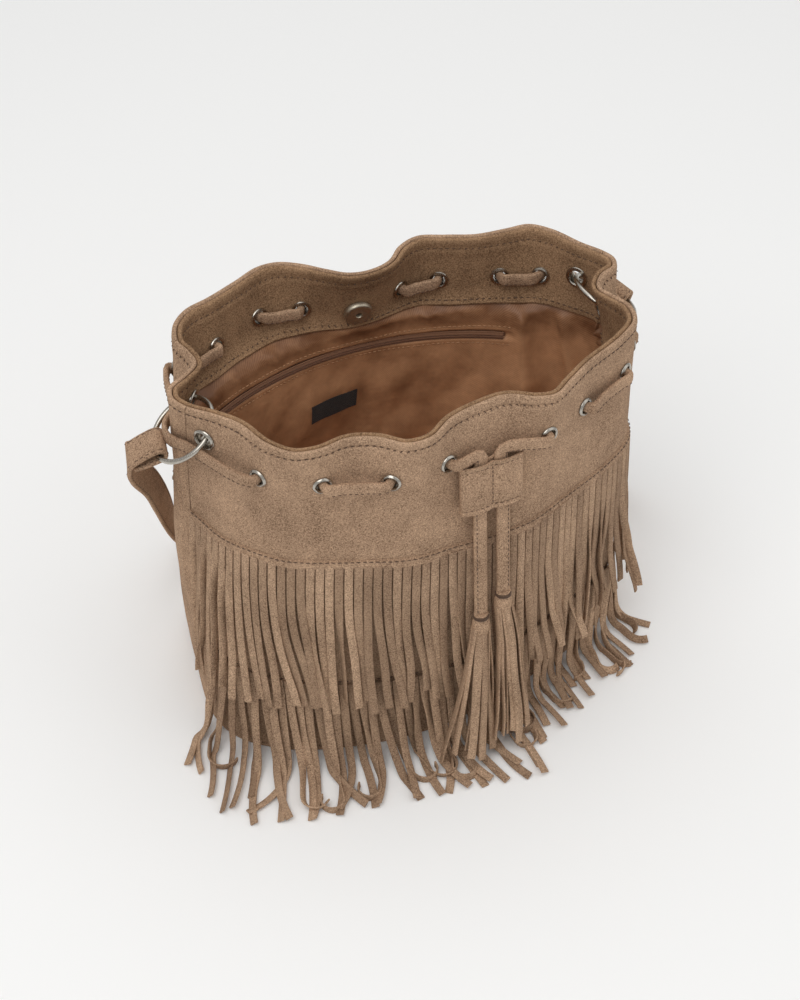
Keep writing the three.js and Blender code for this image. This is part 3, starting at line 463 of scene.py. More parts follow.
def suede(name, light, dark, toned=False):
    """Napped suede: a fine speckle of fibres over soft brushed patches."""
    f = Finish(name, Roughness=0.95, Sheen_Weight=0.1, Sheen_Roughness=0.5, Specular_IOR_Level=0.12)
    f.shader.inputs["Sheen Tint"].default_value = light
    speckle = f.noise(1500, 2, 0.6)
    fibre = f.noise(800, 3, 0.7)
    patch = f.noise(24, 3, 0.55)
    brush = f.noise(70, 2, 0.5, f.coordinates(stretch=(1.3, 1.3, 0.8)))
    blend = f.math("ADD", f.ramp(speckle, 0.34, 0.66, 0, 0.6), f.ramp(fibre, 0.34, 0.66, 0, 0.34))
    blend = f.math("ADD", blend, f.ramp(patch, 0.35, 0.65, -0.06, 0.12))
    blend = f.math("ADD", blend, f.ramp(brush, 0.35, 0.65, -0.05, 0.06))
    colour = f.mix(blend, dark, light)
    if toned:
        tone = f.node("ShaderNodeAttribute", attribute_name="tone").outputs["Fac"]
        colour = f.mix(f.ramp(tone, 0, 1, 0.0, 0.42), colour, dark)
    f.colour(colour)
    height = f.math("ADD", f.math("MULTIPLY", speckle, 0.7), f.math("MULTIPLY", fibre, 0.7))
    f.bump(height, 0.0005, 0.6, under=f.bump(patch, 0.0012, 0.2))
    return f.material


def satin(name, light, dark, fold=0.006):
    """Lining satin: a fine twill rib on the piece's own run, with soft wrinkles, painted highlight and
    shade on its folds, and painted shade above the zip.
    """
    f = Finish(name, Roughness=0.42, Sheen_Weight=0.07, Sheen_Roughness=0.35, Specular_IOR_Level=0.3)
    f.shader.inputs["Sheen Tint"].default_value = light
    cloth = f.coordinates("UV")
    twill = f.node("ShaderNodeTexWave", {"Vector": cloth, "Scale": 420, "Distortion": 1.2,
                                         "Detail": 2}, bands_direction="DIAGONAL").outputs["Fac"]
    patch = f.noise(34, 4, 0.6)
    wrinkle = f.noise(24, 2, 0.5, f.coordinates(stretch=(1.2, 1.2, 0.7)))
    crush_and_highlight = f.noise(75, 3, 0.6)
    # The patch and crush noises make lighter and darker patches: painted highlight and shade standing
    # in for the light on the satin's folds.
    blend = f.math("ADD", f.ramp(patch, 0.3, 0.7, 0.16, 0.58), f.ramp(twill, 0, 1, 0, 0.16))
    blend = f.math("ADD", blend, f.ramp(crush_and_highlight, 0.35, 0.65, 0, 0.16))
    height = f.node("ShaderNodeSeparateXYZ", {"Vector": f.coordinates()}).outputs["Z"]
    # Above the zip the satin is painted darker towards the facing: painted shade for the facing's
    # shadow over its folds.
    blend = f.math("SUBTRACT", blend, f.ramp(height, ZIP_Z * MM, PAINTED_SHADE_Z * MM, 0, 0.42))
    f.colour(f.mix(blend, dark, light))
    f.roughness(f.ramp(patch, 0.2, 0.8, 0.36, 0.52))
    creased = f.bump(crush_and_highlight, fold * 0.3, 0.3, under=f.bump(wrinkle, fold, 0.6))
    f.bump(twill, 0.0001, 0.35, under=creased)
    return f.material


def metal(name, tint, rough):
    """Plated metal with fine scratches and a slight cloudiness."""
    f = Finish(name, Metallic=1.0, Roughness=rough)
    scratch = f.noise(2600, 2, 0.6, f.coordinates(stretch=(1, 1, 0.15)))
    cloud = f.noise(150, 3)
    f.colour(f.mix(f.ramp(cloud, 0.3, 0.7), tint, tuple(c * 0.86 for c in tint[:3]) + (1,)))
    f.roughness(f.ramp(scratch, 0.3, 0.7, rough * 0.75, rough * 1.5))
    f.bump(scratch, 0.00003, 0.3)
    return f.material


def thread(name, light, dark):
    """Twisted sewing thread."""
    f = Finish(name, Roughness=0.7, Sheen_Weight=0.15)
    twist = f.node("ShaderNodeTexWave", {"Vector": f.coordinates(), "Scale": 900, "Distortion": 2},
                   bands_direction="DIAGONAL").outputs["Fac"]
    f.colour(f.mix(f.ramp(twist, 0, 1), dark, light))
    f.bump(twist, 0.0001, 0.5)
    return f.material


def fibre_board(name):
    """Pressed fibre board."""
    f = Finish(name, Roughness=0.9)
    f.colour(f.mix(f.ramp(f.noise(300, 4), 0.35, 0.65), shade(176, 158, 126), shade(206, 190, 158)))
    f.bump(f.noise(700, 3), 0.0003, 0.4)
    return f.material


def woven_tape(name, light, dark, scale=500):
    """Close woven tape: warp ribs crossed by a finer weft."""
    f = Finish(name, Roughness=0.75, Sheen_Weight=0.2)
    warp, weft = [f.node("ShaderNodeTexWave", {
        "Vector": f.coordinates(), "Scale": scale, "Distortion": 0.4},
        bands_direction=way).outputs["Fac"] for way in "XZ"]
    weave = f.math("MULTIPLY", warp, weft)
    f.colour(f.mix(f.ramp(weave, 0, 0.8), dark, light))
    f.bump(weave, 0.0002, 0.5)
    return f.material


bag_suede = suede("taupe_suede", shade(212, 177, 146), shade(98, 74, 56))
fringe_suede = suede("taupe_fringe_suede", shade(222, 187, 155), shade(97, 74, 57), toned=True)
# The facing is the same suede as the outside, given darker colours: painted shade for the inside of the
# rim.
facing_suede = suede("inner_facing_suede_painted_shade", shade(184, 148, 114), shade(84, 61, 42))
lining_satin = satin("brown_satin", shade(226, 172, 128), shade(122, 83, 56), 0.009)
pocket_satin = satin("pocket_satin", shade(180, 128, 90), shade(130, 90, 62))
nickel = metal("polished_nickel", shade(188, 182, 172), 0.22)
brushed_nickel = metal("brushed_nickel", shade(190, 180, 162), 0.42)
suede_thread = thread("taupe_thread", shade(104, 76, 54), shade(62, 43, 30))
lining_thread = thread("tan_thread", shade(204, 158, 116), shade(150, 106, 72))
zip_nylon = thread("zip_nylon", shade(128, 88, 64), shade(86, 56, 40))
zip_tape_cloth = woven_tape("zip_tape_weave", shade(158, 112, 80), shade(112, 77, 54), 700)
base_fibre = fibre_board("base_fibre_board")
label_cloth = woven_tape("black_label_weave", shade(34, 34, 36), shade(10, 10, 12), 900)


# ---- Geometry trees: strips along paths, and small pieces in rows -----------------------------


def new_tree(name, inputs):
    """An empty tree with its named inputs, and the sockets that give their values."""
    tree = bpy.data.node_groups.new(name, "GeometryNodeTree")
    tree.interface.new_socket("Geometry", in_out="INPUT", socket_type="NodeSocketGeometry")
    for label, kind, value in inputs:
        socket = tree.interface.new_socket(label, in_out="INPUT", socket_type="NodeSocket" + kind)
        if value is not None:
            socket.default_value = value
    tree.interface.new_socket("Geometry", in_out="OUTPUT", socket_type="NodeSocketGeometry")
    return tree, tree.nodes.new("NodeGroupInput").outputs


def named(tree, name):
    """The directions kept with the points under a name."""
    return fill_node(tree, "GeometryNodeInputNamedAttribute", {"Name": name},
                     data_type="FLOAT_VECTOR").outputs[0]


def end_tree(tree, geometry, material):
    """Closes a tree: its copies are made real and get their finish."""
    real = fill_node(tree, "GeometryNodeRealizeInstances", {0: geometry})
    coated = fill_node(tree, "GeometryNodeSetMaterial", {0: real.outputs[0], "Material": material})
    fill_node(tree, "NodeGroupOutput", {0: coated.outputs[0]})
    return tree


def strips_tree():
    """Flat strips with softly rounded edges, one along each chain of points."""
    tree, given = new_tree("cut_strips", [
        ("Width", "Float", 0.0055), ("Thickness", "Float", 0.0012), ("Edge radius", "Float", 0.0003),
        ("Material", "Material", None)])
    chain = fill_node(tree, "GeometryNodeMeshToCurve", {0: given["Geometry"]})
    facing = fill_node(tree, "GeometryNodeSetCurveNormal", {0: chain.outputs[0]}, mode="FREE")
    tree.links.new(named(tree, "face"), facing.inputs["Normal"])
    section = fill_node(tree, "GeometryNodeCurvePrimitiveQuadrilateral",
                        {"Width": given["Thickness"], "Height": given["Width"]})
    section = fill_node(tree, "GeometryNodeFilletCurve", {0: section.outputs[0]})
    tree.links.new(given["Edge radius"], section.inputs["Radius"])
    skin = fill_node(tree, "GeometryNodeCurveToMesh", {
        0: facing.outputs[0], 1: section.outputs[0], "Fill Caps": True})
    smooth = fill_node(tree, "GeometryNodeSetShadeSmooth", {0: skin.outputs[0]})
    return end_tree(tree, smooth.outputs[0], given["Material"])


def rows_tree():
    """A small rounded piece at each point, such as a stitch or a zip tooth."""
    tree, given = new_tree("small_pieces", [
        ("Length", "Float", 0.0028), ("Width", "Float", 0.0008), ("Height", "Float", 0.0006),
        ("Irregularity", "Float", 0.1), ("Seed", "Int", 1), ("Material", "Material", None)])
    piece = fill_node(tree, "GeometryNodeMeshIcoSphere", {"Radius": 0.5, "Subdivisions": 2})
    size = fill_node(tree, "ShaderNodeCombineXYZ", {
        0: given["Length"], 1: given["Width"], 2: given["Height"]})
    piece = fill_node(tree, "GeometryNodeTransform",
                      {"Geometry": piece.outputs[0], "Scale": size.outputs[0]})
    turn = fill_node(tree, "FunctionNodeAxesToRotation",
                     {0: named(tree, "out"), 1: named(tree, "along")},
                     primary_axis="Z", secondary_axis="X")
    low = fill_node(tree, "ShaderNodeMath", {0: 1.0, 1: given["Irregularity"]}, operation="SUBTRACT")
    high = fill_node(tree, "ShaderNodeMath", {0: 1.0, 1: given["Irregularity"]}, operation="ADD")
    vary = fill_node(tree, "FunctionNodeRandomValue",
                     {2: low.outputs[0], 3: high.outputs[0], "Seed": given["Seed"]})
    spots = fill_node(tree, "GeometryNodeMeshToPoints", {0: given["Geometry"]})
    row = fill_node(tree, "GeometryNodeInstanceOnPoints", {
        "Points": spots.outputs[0], "Instance": piece.outputs[0], "Rotation": turn.outputs[0]})
    value = next(s for s in vary.outputs if s.enabled)
    tree.links.new(value, row.inputs["Scale"])
    smooth = fill_node(tree, "GeometryNodeSetShadeSmooth", {0: row.outputs[0]})
    return end_tree(tree, smooth.outputs[0], given["Material"])


STRIPS = strips_tree()
ROWS = rows_tree()


def grown(name, tree, source, values):
    """The plain mesh that a tree makes from a source mesh."""
    obj = make_object(name, source)
    modifier = obj.modifiers.new("tree", "NODES")
    modifier.node_group = tree
    for item in tree.interface.items_tree:
        if item.item_type == "SOCKET" and item.in_out == "INPUT" and item.name in values:
            modifier[item.identifier] = values[item.name]
    return evaluated(obj)


def with_attributes(mesh, **attributes):
    """Gives a mesh's points the numbers or directions they carry."""
    for name, value in attributes.items():
        value = np.asarray(value, float)
        kind = "FLOAT_VECTOR" if value.ndim == 2 else "FLOAT"
        layer = mesh.attributes.new(name, kind, "POINT")
        layer.data.foreach_set("vector" if value.ndim == 2 else "value", value.ravel())


def cut_strips(name, paths, faces, tones, width, thickness, material):
    """Strips along paths, an array of strips by points by 3, that face the given ways."""
    count, size = paths.shape[:2]
    edges = [(i * size + j, i * size + j + 1) for i in range(count) for j in range(size - 1)]
    mesh = bpy.data.meshes.new(name)
    mesh.from_pydata((paths.reshape(-1, 3) * MM).tolist(), edges, [])
    with_attributes(mesh, face=faces.reshape(-1, 3), tone=np.repeat(tones, size))
    return grown(name, STRIPS, mesh, {
        "Width": width * MM, "Thickness": thickness * MM, "Edge radius": 0.25 * MM,
        "Material": material})


def stitches(name, points, along, out, material, size=(2.7, 0.75, 0.7), seed=1, body="bag"):
    """Makes a finished row of stitches, or of other small turns, on the body it is sewn to."""
    mesh = bpy.data.meshes.new(name)
    mesh.from_pydata((np.asarray(points) * MM).tolist(), [], [])
    with_attributes(mesh, along=along, out=out)
    length, width, height = size
    row = grown(name, ROWS, mesh, {
        "Length": length * MM, "Width": width * MM, "Height": height * MM, "Irregularity": 0.08,
        "Seed": seed, "Material": material})
    finished(row, material, body)


def even_points(line, pitch):
    """Points at an even pitch along a line, with its direction at each."""
    run = run_along(line)
    at = np.arange(pitch / 2, run[-1], pitch)
    ahead = read_at(np.minimum(at + 0.5, run[-1]), run, line)
    return read_at(at, run, line), unit(ahead - read_at(at - 0.5, run, line)), at / run[-1]


# ---- Outer suede ------------------------------------------------------------------------------

EYELET_PLACES = CORD_PLACES + LEFT_RING_PLACES + RIGHT_RING_PLACES
EYELETS = [wall_frame(p, CORD_HOLE_Z) for p in CORD_PLACES]
RING_EYELETS = [wall_frame(p, RING_HOLE_Z) for p in LEFT_RING_PLACES + RIGHT_RING_PLACES]
SHELL_STEPS = [170, 46, 150, 52]


def upright_section(low, high, outer, inner, rows):
    """A closed section from low to high, with slightly rounded ends."""
    zs = np.linspace(low, high, rows)
    rise = [(outer - 0.25, low)] + [(outer, z) for z in zs[1:-1]] + [(outer - 0.25, high)]
    fall = [(inner + 0.25, high)] + [(inner, z) for z in zs[-2:0:-3]] + [(inner + 0.25, low)]
    return rise + fall


def rim_section(low, outer, inner, rows, hem=243):
    """A wall section whose top is turned over into a soft double hem."""
    middle = (outer + inner) / 2
    half = abs(outer - inner) / 2 + 0.35
    zs = np.linspace(low, hem, rows)
    rise = [(outer, z) for z in zs]
    rise += [(outer + 0.3, 246), (outer + 0.35, 248.4), (outer - 0.35, RIM_STITCH_Z),
             (outer + 0.3, 250.7), (outer + 0.5, 252.2), (outer + 0.3, 253.7)]
    crown = [(middle + half * math.cos(a), HEIGHT - 1.3 + 1.6 * math.sin(a))
             for a in np.linspace(0.45, math.pi - 0.45, 7)]
    fall = [(inner - 0.3, 253.2), (inner - 0.1, 250.5), (inner, 246)]
    fall += [(inner + (0.6 if z < 241 else 0.1), z) for z in zs[::-2]]
    return rise + crown + fall


def cutters(frames, radius, depth=9, middle=-2.5):
    """Round bars through the wall at each eyelet."""
    bars = []
    for i, (point, along, out) in enumerate(frames):
        profile = [(0.01, middle - depth), (radius, middle - depth), (radius, middle + depth),
                   (0.01, middle + depth)]
        bars.append(turned(f"bar_{i}", point, out, profile, 24))
    return bars


def eyelet_cutters(sections):
    """Bars for the eyelet holes whose place lies in the given sections."""
    spots = [spot for place, spot in zip(EYELET_PLACES, EYELETS + RING_EYELETS)
             if int(place) in sections]
    return cutters(spots, EYELET_HOLE)


for number, side in enumerate(SECTIONS):
    seamed = side in ("front", "back")
    name = side if seamed else f"{side}_gusset"
    at = np.linspace(number + 0.0012, number + 0.9988, SHELL_STEPS[number])
    if seamed:
        section = upright_section(2, YOKE_SEAM_Z - 0.6, 0, -SUEDE, 46)
        panel = wall_band(f"{name}_lower_suede", at, [section] * len(at))
        finished(panel, bag_suede, "bag", f"{name}_panel", slot="suede")
        # The yoke overlaps the panel and the fringe below it, so its edge stands a little proud.
        top = rim_section(YOKE_SEAM_Z + 1.5, 0, -WALL_THICK, 30)
        edge = [(0.2, 159.8), (0.9, 158.2), (1.1, 156.2), (2.2, 156.0), (2.4, 158), (1.2, 161)]
        yoke = wall_band(f"{name}_yoke_suede", at, [edge + top] * len(at))
    else:
        yoke = wall_band(f"{name}_suede", at, [rim_section(2, 0, -WALL_THICK, 66)] * len(at))
    pierced(yoke, eyelet_cutters((number,)))
    finished(yoke, bag_suede, "bag", f"{name}_yoke" if seamed else name, slot="suede")

# The base panel, turned up a little at its edge.
ring_steps = np.linspace(0, 4, 200)[:-1]
base_loops = [wall(ring_steps, 1.9, -0.2), wall(ring_steps, 1.0, 0.35), wall(ring_steps, 0.2, 0),
              wall(ring_steps, 0.0, -2)]
base_loops += [base_loops[3] * [share, share, 0] for share in (0.8, 0.5, 0.2)]
base_loops += [loop + [0, 0, 1.9] for loop in base_loops[-1:3:-1]] + [wall(ring_steps, 1.9, -3)]
base_loops = np.array(base_loops).transpose(1, 0, 2)
base = swept("base_suede", base_loops, closed=True)
finished(base, bag_suede, "bag", "base_panel", slot="suede")


# ---- Facing and lining ------------------------------------------------------------------------


def zip_angle(point):
    """The angle of a point round the zip's axis."""
    return np.arctan2(point[..., 0] - ZIP_AXIS[0], point[..., 1] - ZIP_AXIS[1])


def bulge(place):
    """How far the lining stands in from its usual depth so that it follows the zip's arc."""
    point, out = plan(place, ZIP_Z), outward(place, ZIP_Z)
    from_axis = point - ZIP_AXIS
    angle = zip_angle(point)
    window = smooth(angle, ZIP_FROM - 0.17, ZIP_FROM - 0.035)
    window *= 1 - smooth(angle, ZIP_TO + 0.035, ZIP_TO + 0.17)
    across = (from_axis * out).sum(-1)
    root = across ** 2 - (from_axis ** 2).sum(-1) + ZIP_RADIUS ** 2
    reach = across - np.sqrt(np.maximum(root, 0))
    return np.where(root > 0, np.maximum(0, reach - LINING_IN - 0.7), 0) * window


def lining_points(place, z, extra=0.0):
    """The lining's inner face: it follows the zip's arc, and sags in soft folds elsewhere."""
    share = np.interp(z, [40, 80, 120, 160, 172, 200, 208], [0, 0.2, 0.6, 0.95, 1, 1, 0.3])
    angle = np.asarray(place) * math.pi / 2
    calm = 1 - 0.85 * smooth(z, 148, 172) * (1 - smooth(z, 199, 206))
    corner = 1 + 1.6 * np.exp(-((place - 1.5) / 0.35) ** 2)
    sag = 1.0 + waves(angle * 9 + 0.02 * z, 21, 3) + 0.8 * waves(angle * 5 + z / 24, 5, 3)
    sag = np.maximum(sag, 0) * 2.3 * calm * corner * smooth(z, 4, 40)
    # Puckers that fan out below the facing's seam, and a soft fold at the back's right corner.
    pucker = waves(angle * 26 + (207 - z) / 9, 44, 3) + 0.6 * waves(angle * 61 - z / 7, 45, 2)
    pucker = np.maximum(pucker + 0.2, 0) * 1.8 * smooth(z, 190, 204) * (1 - smooth(z, 206.5, 209))
    ridge = 7 * np.exp(-((place - 2.075 + 0.0006 * (205 - z)) / 0.017) ** 2)
    ridge += 3.5 * np.exp(-((place - 2.168 + 0.0004 * (205 - z)) / 0.02) ** 2)
    ridge = ridge * smooth(z, 100, 150) * (1 - smooth(z, 198, 208))
    depth = LINING_IN + 0.7 + share * bulge(place) + sag * (1 - smooth(z, 203, 209)) + extra
    flat = plan(place, z) - outward(place, z) * (depth + pucker + ridge)[..., None]
    return np.concatenate([flat, z[..., None]], -1)


def lining_shell():
    """The lining as one sheet: its walls, with lips along the zip, and its floor."""
    at = np.linspace(0, 4, 361)[:-1]
    zs = np.concatenate([np.linspace(210.5, 200, 8), np.linspace(198, 174, 40)[1:],
                         np.linspace(172, 8, 60)])
    place, z = np.meshgrid(at, zs)
    groove = np.exp(-((z - ZIP_Z) / 2.6) ** 2)
    angle = zip_angle(plan(place, z))
    zipped = smooth(angle, ZIP_FROM - 0.005, ZIP_FROM + 0.01) * (
        1 - smooth(angle, ZIP_TO - 0.01, ZIP_TO + 0.005)) * (np.mod(place, 4) > 1.9)
    lips = 0.5 * (np.exp(-((z - ZIP_Z - 4.2) / 1.6) ** 2) + np.exp(-((z - ZIP_Z + 4.2) / 1.6) ** 2))
    rows = lining_points(place, z, (lips - 2.6 * groove) * zipped)
    rim = rows[-1]
    middle = np.array([0, 4, 0.0])
    for share in (0.97, 0.9, 0.78, 0.6, 0.4, 0.2, 0.06):
        ring = middle + (rim - middle) * share
        fold = 1 + waves(ring[:, 0] / 17 + share * 5, 31, 3) * waves(ring[:, 1] / 21, 33, 3)
        ring[:, 2] = 5.6 + (2.4 if share > 0.93 else 0.9 * fold)
        rows = np.concatenate([rows, ring[None]])
    count, size = rows.shape[:2]
    points = np.vstack([rows.reshape(-1, 3), [[0, 4, 6.2]]])
    faces = [(i * size + j, i * size + (j + 1) % size, (i + 1) * size + (j + 1) % size,
              (i + 1) * size + j) for i in range(count - 1) for j in range(size)]
    last = (count - 1) * size
    faces += [(last + j, last + (j + 1) % size, count * size) for j in range(size)]
    run = np.tile(at * 270, count)
    uv = np.stack([run, np.repeat(np.concatenate([zs, -20 * np.arange(1, 8)]), size)], -1)
    return build("satin_lining", points, faces, 0, np.vstack([uv, [[0, -160]]]))


lining = lining_shell()
# The sheet's faces look into the bag; its thickness grows towards the wall.
lining.data.flip_normals()
modifier = lining.modifiers.new("cloth_thickness", "SOLIDIFY")
modifier.thickness = 0.55 * MM
modifier.offset = -1
evaluated(lining)
finished(lining, lining_satin, "bag", "lining", slot="satin")


def facing_section(place):
    """The facing's section at a place: it leans in to meet the lining's top edge."""
    flare = LINING_IN + 1.3 + 0.32 * float(bulge(np.array([place]))[0])
    # Raised ridges where the facing's pieces are sewn together.
    ridge = sum(0.9 * math.exp(-((place - p) / 0.006) ** 2) for p in (0.02, 1.02, 2.0, 2.56, 3.0))
    outer = [(-flare, FACING_EDGE_Z), (-FACING_IN - 0.5, 213), (-FACING_IN, 220), (-FACING_IN, 240),
             (-2.9, 243), (-2.9, 249), (-2.95, 252.6)]
    crown = [(-4.4 + 1.5 * math.cos(a), 253.4 + 1.7 * math.sin(a))
             for a in np.linspace(0.35, math.pi - 0.35, 7)]
    inner = [(-5.95, 252.2), (-5.75, 250.2), (-5.15, 248.2), (-5.6, 246.4), (-5.5, 244), (-5.1, 242)]
    inner += [(-FACING_IN - SUEDE - ridge, z) for z in np.linspace(239, 221, 8)]
    inner += [(-FACING_IN - SUEDE - 0.4 - ridge, 214), (-flare - SUEDE - 0.2, FACING_EDGE_Z + 1.2),
              (-flare - SUEDE + 0.2, FACING_EDGE_Z)]
    return outer + crown + inner


for name, low, high, sections in (("front_facing", 3.503, 5.497, (0, 1, 3)),
                                  ("back_facing", 1.503, 3.497, (1, 2, 3))):
    at = np.linspace(low, high, 200)
    facing = wall_band(f"{name}_suede", at, [facing_section(place) for place in at])
    pierced(facing, eyelet_cutters(sections))
    finished(facing, facing_suede, "bag", name, slot="facing_suede")


# ---- Stitch rows ------------------------------------------------------------------------------


def wall_stitches(name, start, end, z, out, seed, pitch=STITCH_PITCH, way=1):
    """Sews a row at one height, on the wall's outer face, or its inner one with way -1."""
    points, along, share = even_points(wall(np.linspace(start, end, 400), z, out), pitch)
    here = start + share * (end - start)
    face = wall_frame(here, np.full(len(here), float(z)))[2]
    stitches(name, points, along, face * way, suede_thread, seed=seed)


wall_stitches("rim_topstitch", 0, 4, RIM_STITCH_Z, 0.05, 2)
wall_stitches("front_yoke_stitch", 0.005, 0.995, YOKE_SEAM_Z + 1.2, 2.0, 3, 3.7)
wall_stitches("back_yoke_stitch", 2.005, 2.995, YOKE_SEAM_Z + 1.2, 2.0, 4, 3.7)
wall_stitches("lower_fringe_stitch", 0.005, 0.995, LOWER_SEAM_Z + 1.5, 1.0, 5)
wall_stitches("facing_rim_stitch", 0, 4, 248.2, -5.2, 6, way=-1)

# The facing's lower row lies on its sloped face.
facing_places = np.linspace(0, 4, 500)
flare = LINING_IN + 1.3 + 0.32 * bulge(facing_places)
facing_face = -(flare * 0.55 + (FACING_IN + 0.5) * 0.45) - SUEDE - 0.3
points, along, share = even_points(wall(facing_places, FACING_STITCH_Z, facing_face), STITCH_PITCH)
face = wall_frame(share * 4, np.full(len(share), FACING_STITCH_Z))[2]
slope = (LINING_IN + 1.1 - FACING_IN + 0.32 * bulge(share * 4)) / 4.8
stitches("facing_edge_stitch", points, along, unit(UP * slope[:, None] - face), suede_thread)

zip_places = np.linspace(1.9, 3.35, 700)
zip_turn = zip_angle(plan(zip_places, ZIP_Z))
zip_places = zip_places[(zip_turn > ZIP_FROM - 0.01) & (zip_turn < ZIP_TO + 0.01)]
for side, label in ((1, "upper"), (-1, "lower")):
    line = lining_points(zip_places, np.full(len(zip_places), ZIP_Z + side * 6.6), 0.2)
    points, along, share = even_points(line, 3.2)
    here = zip_places[0] + share * (zip_places[-1] - zip_places[0])
    face = -np.concatenate([outward(here, ZIP_Z), np.zeros((len(here), 1))], -1)
    stitches(f"zip_{label}_stitch", points, along, face, lining_thread, (2.4, 0.8, 0.7))


# ---- Metal fittings ---------------------------------------------------------------------------


def eyelet(name, spot, bore, barrel, flange):
    """A rolled eyelet: a rounded front flange, a barrel and a flatter washer inside."""
    point, along, out = spot
    front = [(bore, -1), (bore + 0.05, 0.9), (bore + 0.5, 1.65), (bore + 1.1, 1.95),
             (flange - 0.6, 1.6), (flange - 0.1, 1.0), (flange, 0.65), (flange - 0.3, 0.45)]
    back = [(barrel, 0.5), (barrel, -5.5), (flange - 0.2, -5.5), (flange, -5.8),
            (flange - 0.3, -6.4), (bore + 0.7, -6.7), (bore + 0.05, -6.3), (bore, -5)]
    return turned(name, point, out, front + back, 36)


cord_rings = joined("cord_eyelets", [
    eyelet(f"eyelet_{i}", spot, 3.9, 4.6, 6.0) for i, spot in enumerate(EYELETS)])
finished(cord_rings, nickel, "bag", *[f"cord_eyelet_{i + 1:02d}" for i in range(16)], slot="nickel")
side_rings = joined("side_ring_eyelets", [
    eyelet(f"side_eyelet_{i}", spot, 4.7, 5.4, 7.2) for i, spot in enumerate(RING_EYELETS)])
finished(side_rings, nickel, "bag", "left_front_ring_eyelet", "left_side_ring_eyelet",
         "right_back_ring_eyelet", "right_side_ring_eyelet", slot="nickel")


def ring_frame(name, places_pair, droop):
    """Centre of a ring that threads two eyelets, with its way out, its level and its axis."""
    at = [np.append(plan(p, RING_HOLE_Z) - outward(p, RING_HOLE_Z) * 2.5, RING_HOLE_Z)
          for p in places_pair]
    level = unit(at[1] - at[0])
    out = np.array([level[1], -level[0], 0])
    if out[:2] @ outward(places_pair[0], RING_HOLE_Z) < 0:
        out = -out
    out = out * math.cos(droop) - UP * math.sin(droop)
    centre = np.mean([list(corner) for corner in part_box(name)], axis=0) / MM
    return centre, out, level


def ring(name, spot, split):
    """A ring of round wire whose ends meet at a fine gap."""
    centre, out, level = spot
    axis = np.cross(out, level)
    loops = []
    for turn in np.linspace(split + 0.008, split + 2 * math.pi - 0.008, 97):
        ray = out * math.cos(turn) + level * math.sin(turn)
        loops.append([centre + ray * (RING_RADIUS + RING_WIRE * math.cos(a))
                      + axis * RING_WIRE * math.sin(a) for a in circle(16)])
    return swept(name, loops)


LEFT_RING = ring_frame("left_ring", LEFT_RING_PLACES, LEFT_DROOP)
RIGHT_RING = ring_frame("right_ring", RIGHT_RING_PLACES, RIGHT_DROOP)
finished(ring("left_wire_ring", LEFT_RING, -0.35), nickel, "left_ring", "left_ring", slot="nickel")
finished(ring("right_wire_ring", RIGHT_RING, 0.6), nickel, "right_ring", "right_ring", slot="nickel")

# The magnetic snap: a holed disc at the back and a studded one at the front.
SNAP_IN = -FACING_IN - SUEDE - 0.7
back_spot = wall_frame(SNAP_PLACES["back"], SNAP_Z)
front_spot = wall_frame(SNAP_PLACES["front"], SNAP_Z)
socket = turned("snap_socket_disc", back_spot[0], back_spot[2], [
    (2.0, SNAP_IN), (9.0, SNAP_IN), (9.1, SNAP_IN - 0.8), (8.9, SNAP_IN - 2.4), (8.2, SNAP_IN - 3.2),
    (7.2, SNAP_IN - 3.4), (6.6, SNAP_IN - 3.1), (3.4, SNAP_IN - 3.1), (3.0, SNAP_IN - 3.4),
    (2.3, SNAP_IN - 3.4), (2.0, SNAP_IN - 3.0)], 48)
finished(socket, brushed_nickel, "bag", "snap_socket", slot="nickel")
stud = turned("snap_stud_disc", front_spot[0], front_spot[2], [
    (0.01, SNAP_IN), (9.0, SNAP_IN), (9.0, SNAP_IN - 1.2), (8.3, SNAP_IN - 1.9), (2.4, SNAP_IN - 2),
    (1.7, SNAP_IN - 2.2), (1.7, SNAP_IN - 3.7), (1.4, SNAP_IN - 4), (0.01, SNAP_IN - 4)], 48)
finished(stud, brushed_nickel, "bag", "snap_stud", slot="nickel")

# The zip: two rolled tape edges that meet over the coil, whose turns show in between.
COIL_IN = ZIP_RADIUS - 1.5


def on_arc(angle, radius, z):
    """Points at angles round the zip's axis, at its radius and height."""
    angle, radius, z = np.broadcast_arrays(angle, np.asarray(radius, float), np.asarray(z, float))
    return np.stack([ZIP_AXIS[0] + radius * np.sin(angle), ZIP_AXIS[1] + radius * np.cos(angle), z], -1)


zip_steps = np.linspace(ZIP_FROM + 0.008, ZIP_TO - 0.008, 130)
edges = []
for side in (1, -1):
    profile = [(0.3, 0.12), (0.0, 0.35), (-0.1, 0.8), (0.05, 1.3), (0.4, 1.7), (0.5, 2.1),
               (0.55, 2.7), (1.3, 2.7), (1.3, 0.12)]
    loops = [on_arc(turn, [COIL_IN + r for r, h in profile], [ZIP_Z + side * h for r, h in profile])
             for turn in zip_steps]
    edges.append(swept(f"zip_edge_{side + 1}", loops))
tape_edges = joined("zip_tape_edges", edges)
finished(tape_edges, zip_tape_cloth, "bag", "zip_coil", slot="coil_nylon")
pitch = 1.25 / ZIP_RADIUS
turns = np.arange(ZIP_FROM + 0.012, ZIP_TO - 0.012, pitch)
inward = -np.stack([np.sin(turns), np.cos(turns), 0 * turns], -1)
lean = unit(np.stack([np.cos(turns), -np.sin(turns), 0 * turns], -1) * 0.25 + UP)
stitches("zip_coil_turns", on_arc(turns, COIL_IN + 0.35, ZIP_Z), lean, inward, zip_nylon,
         (1.0, 0.9, 0.9))

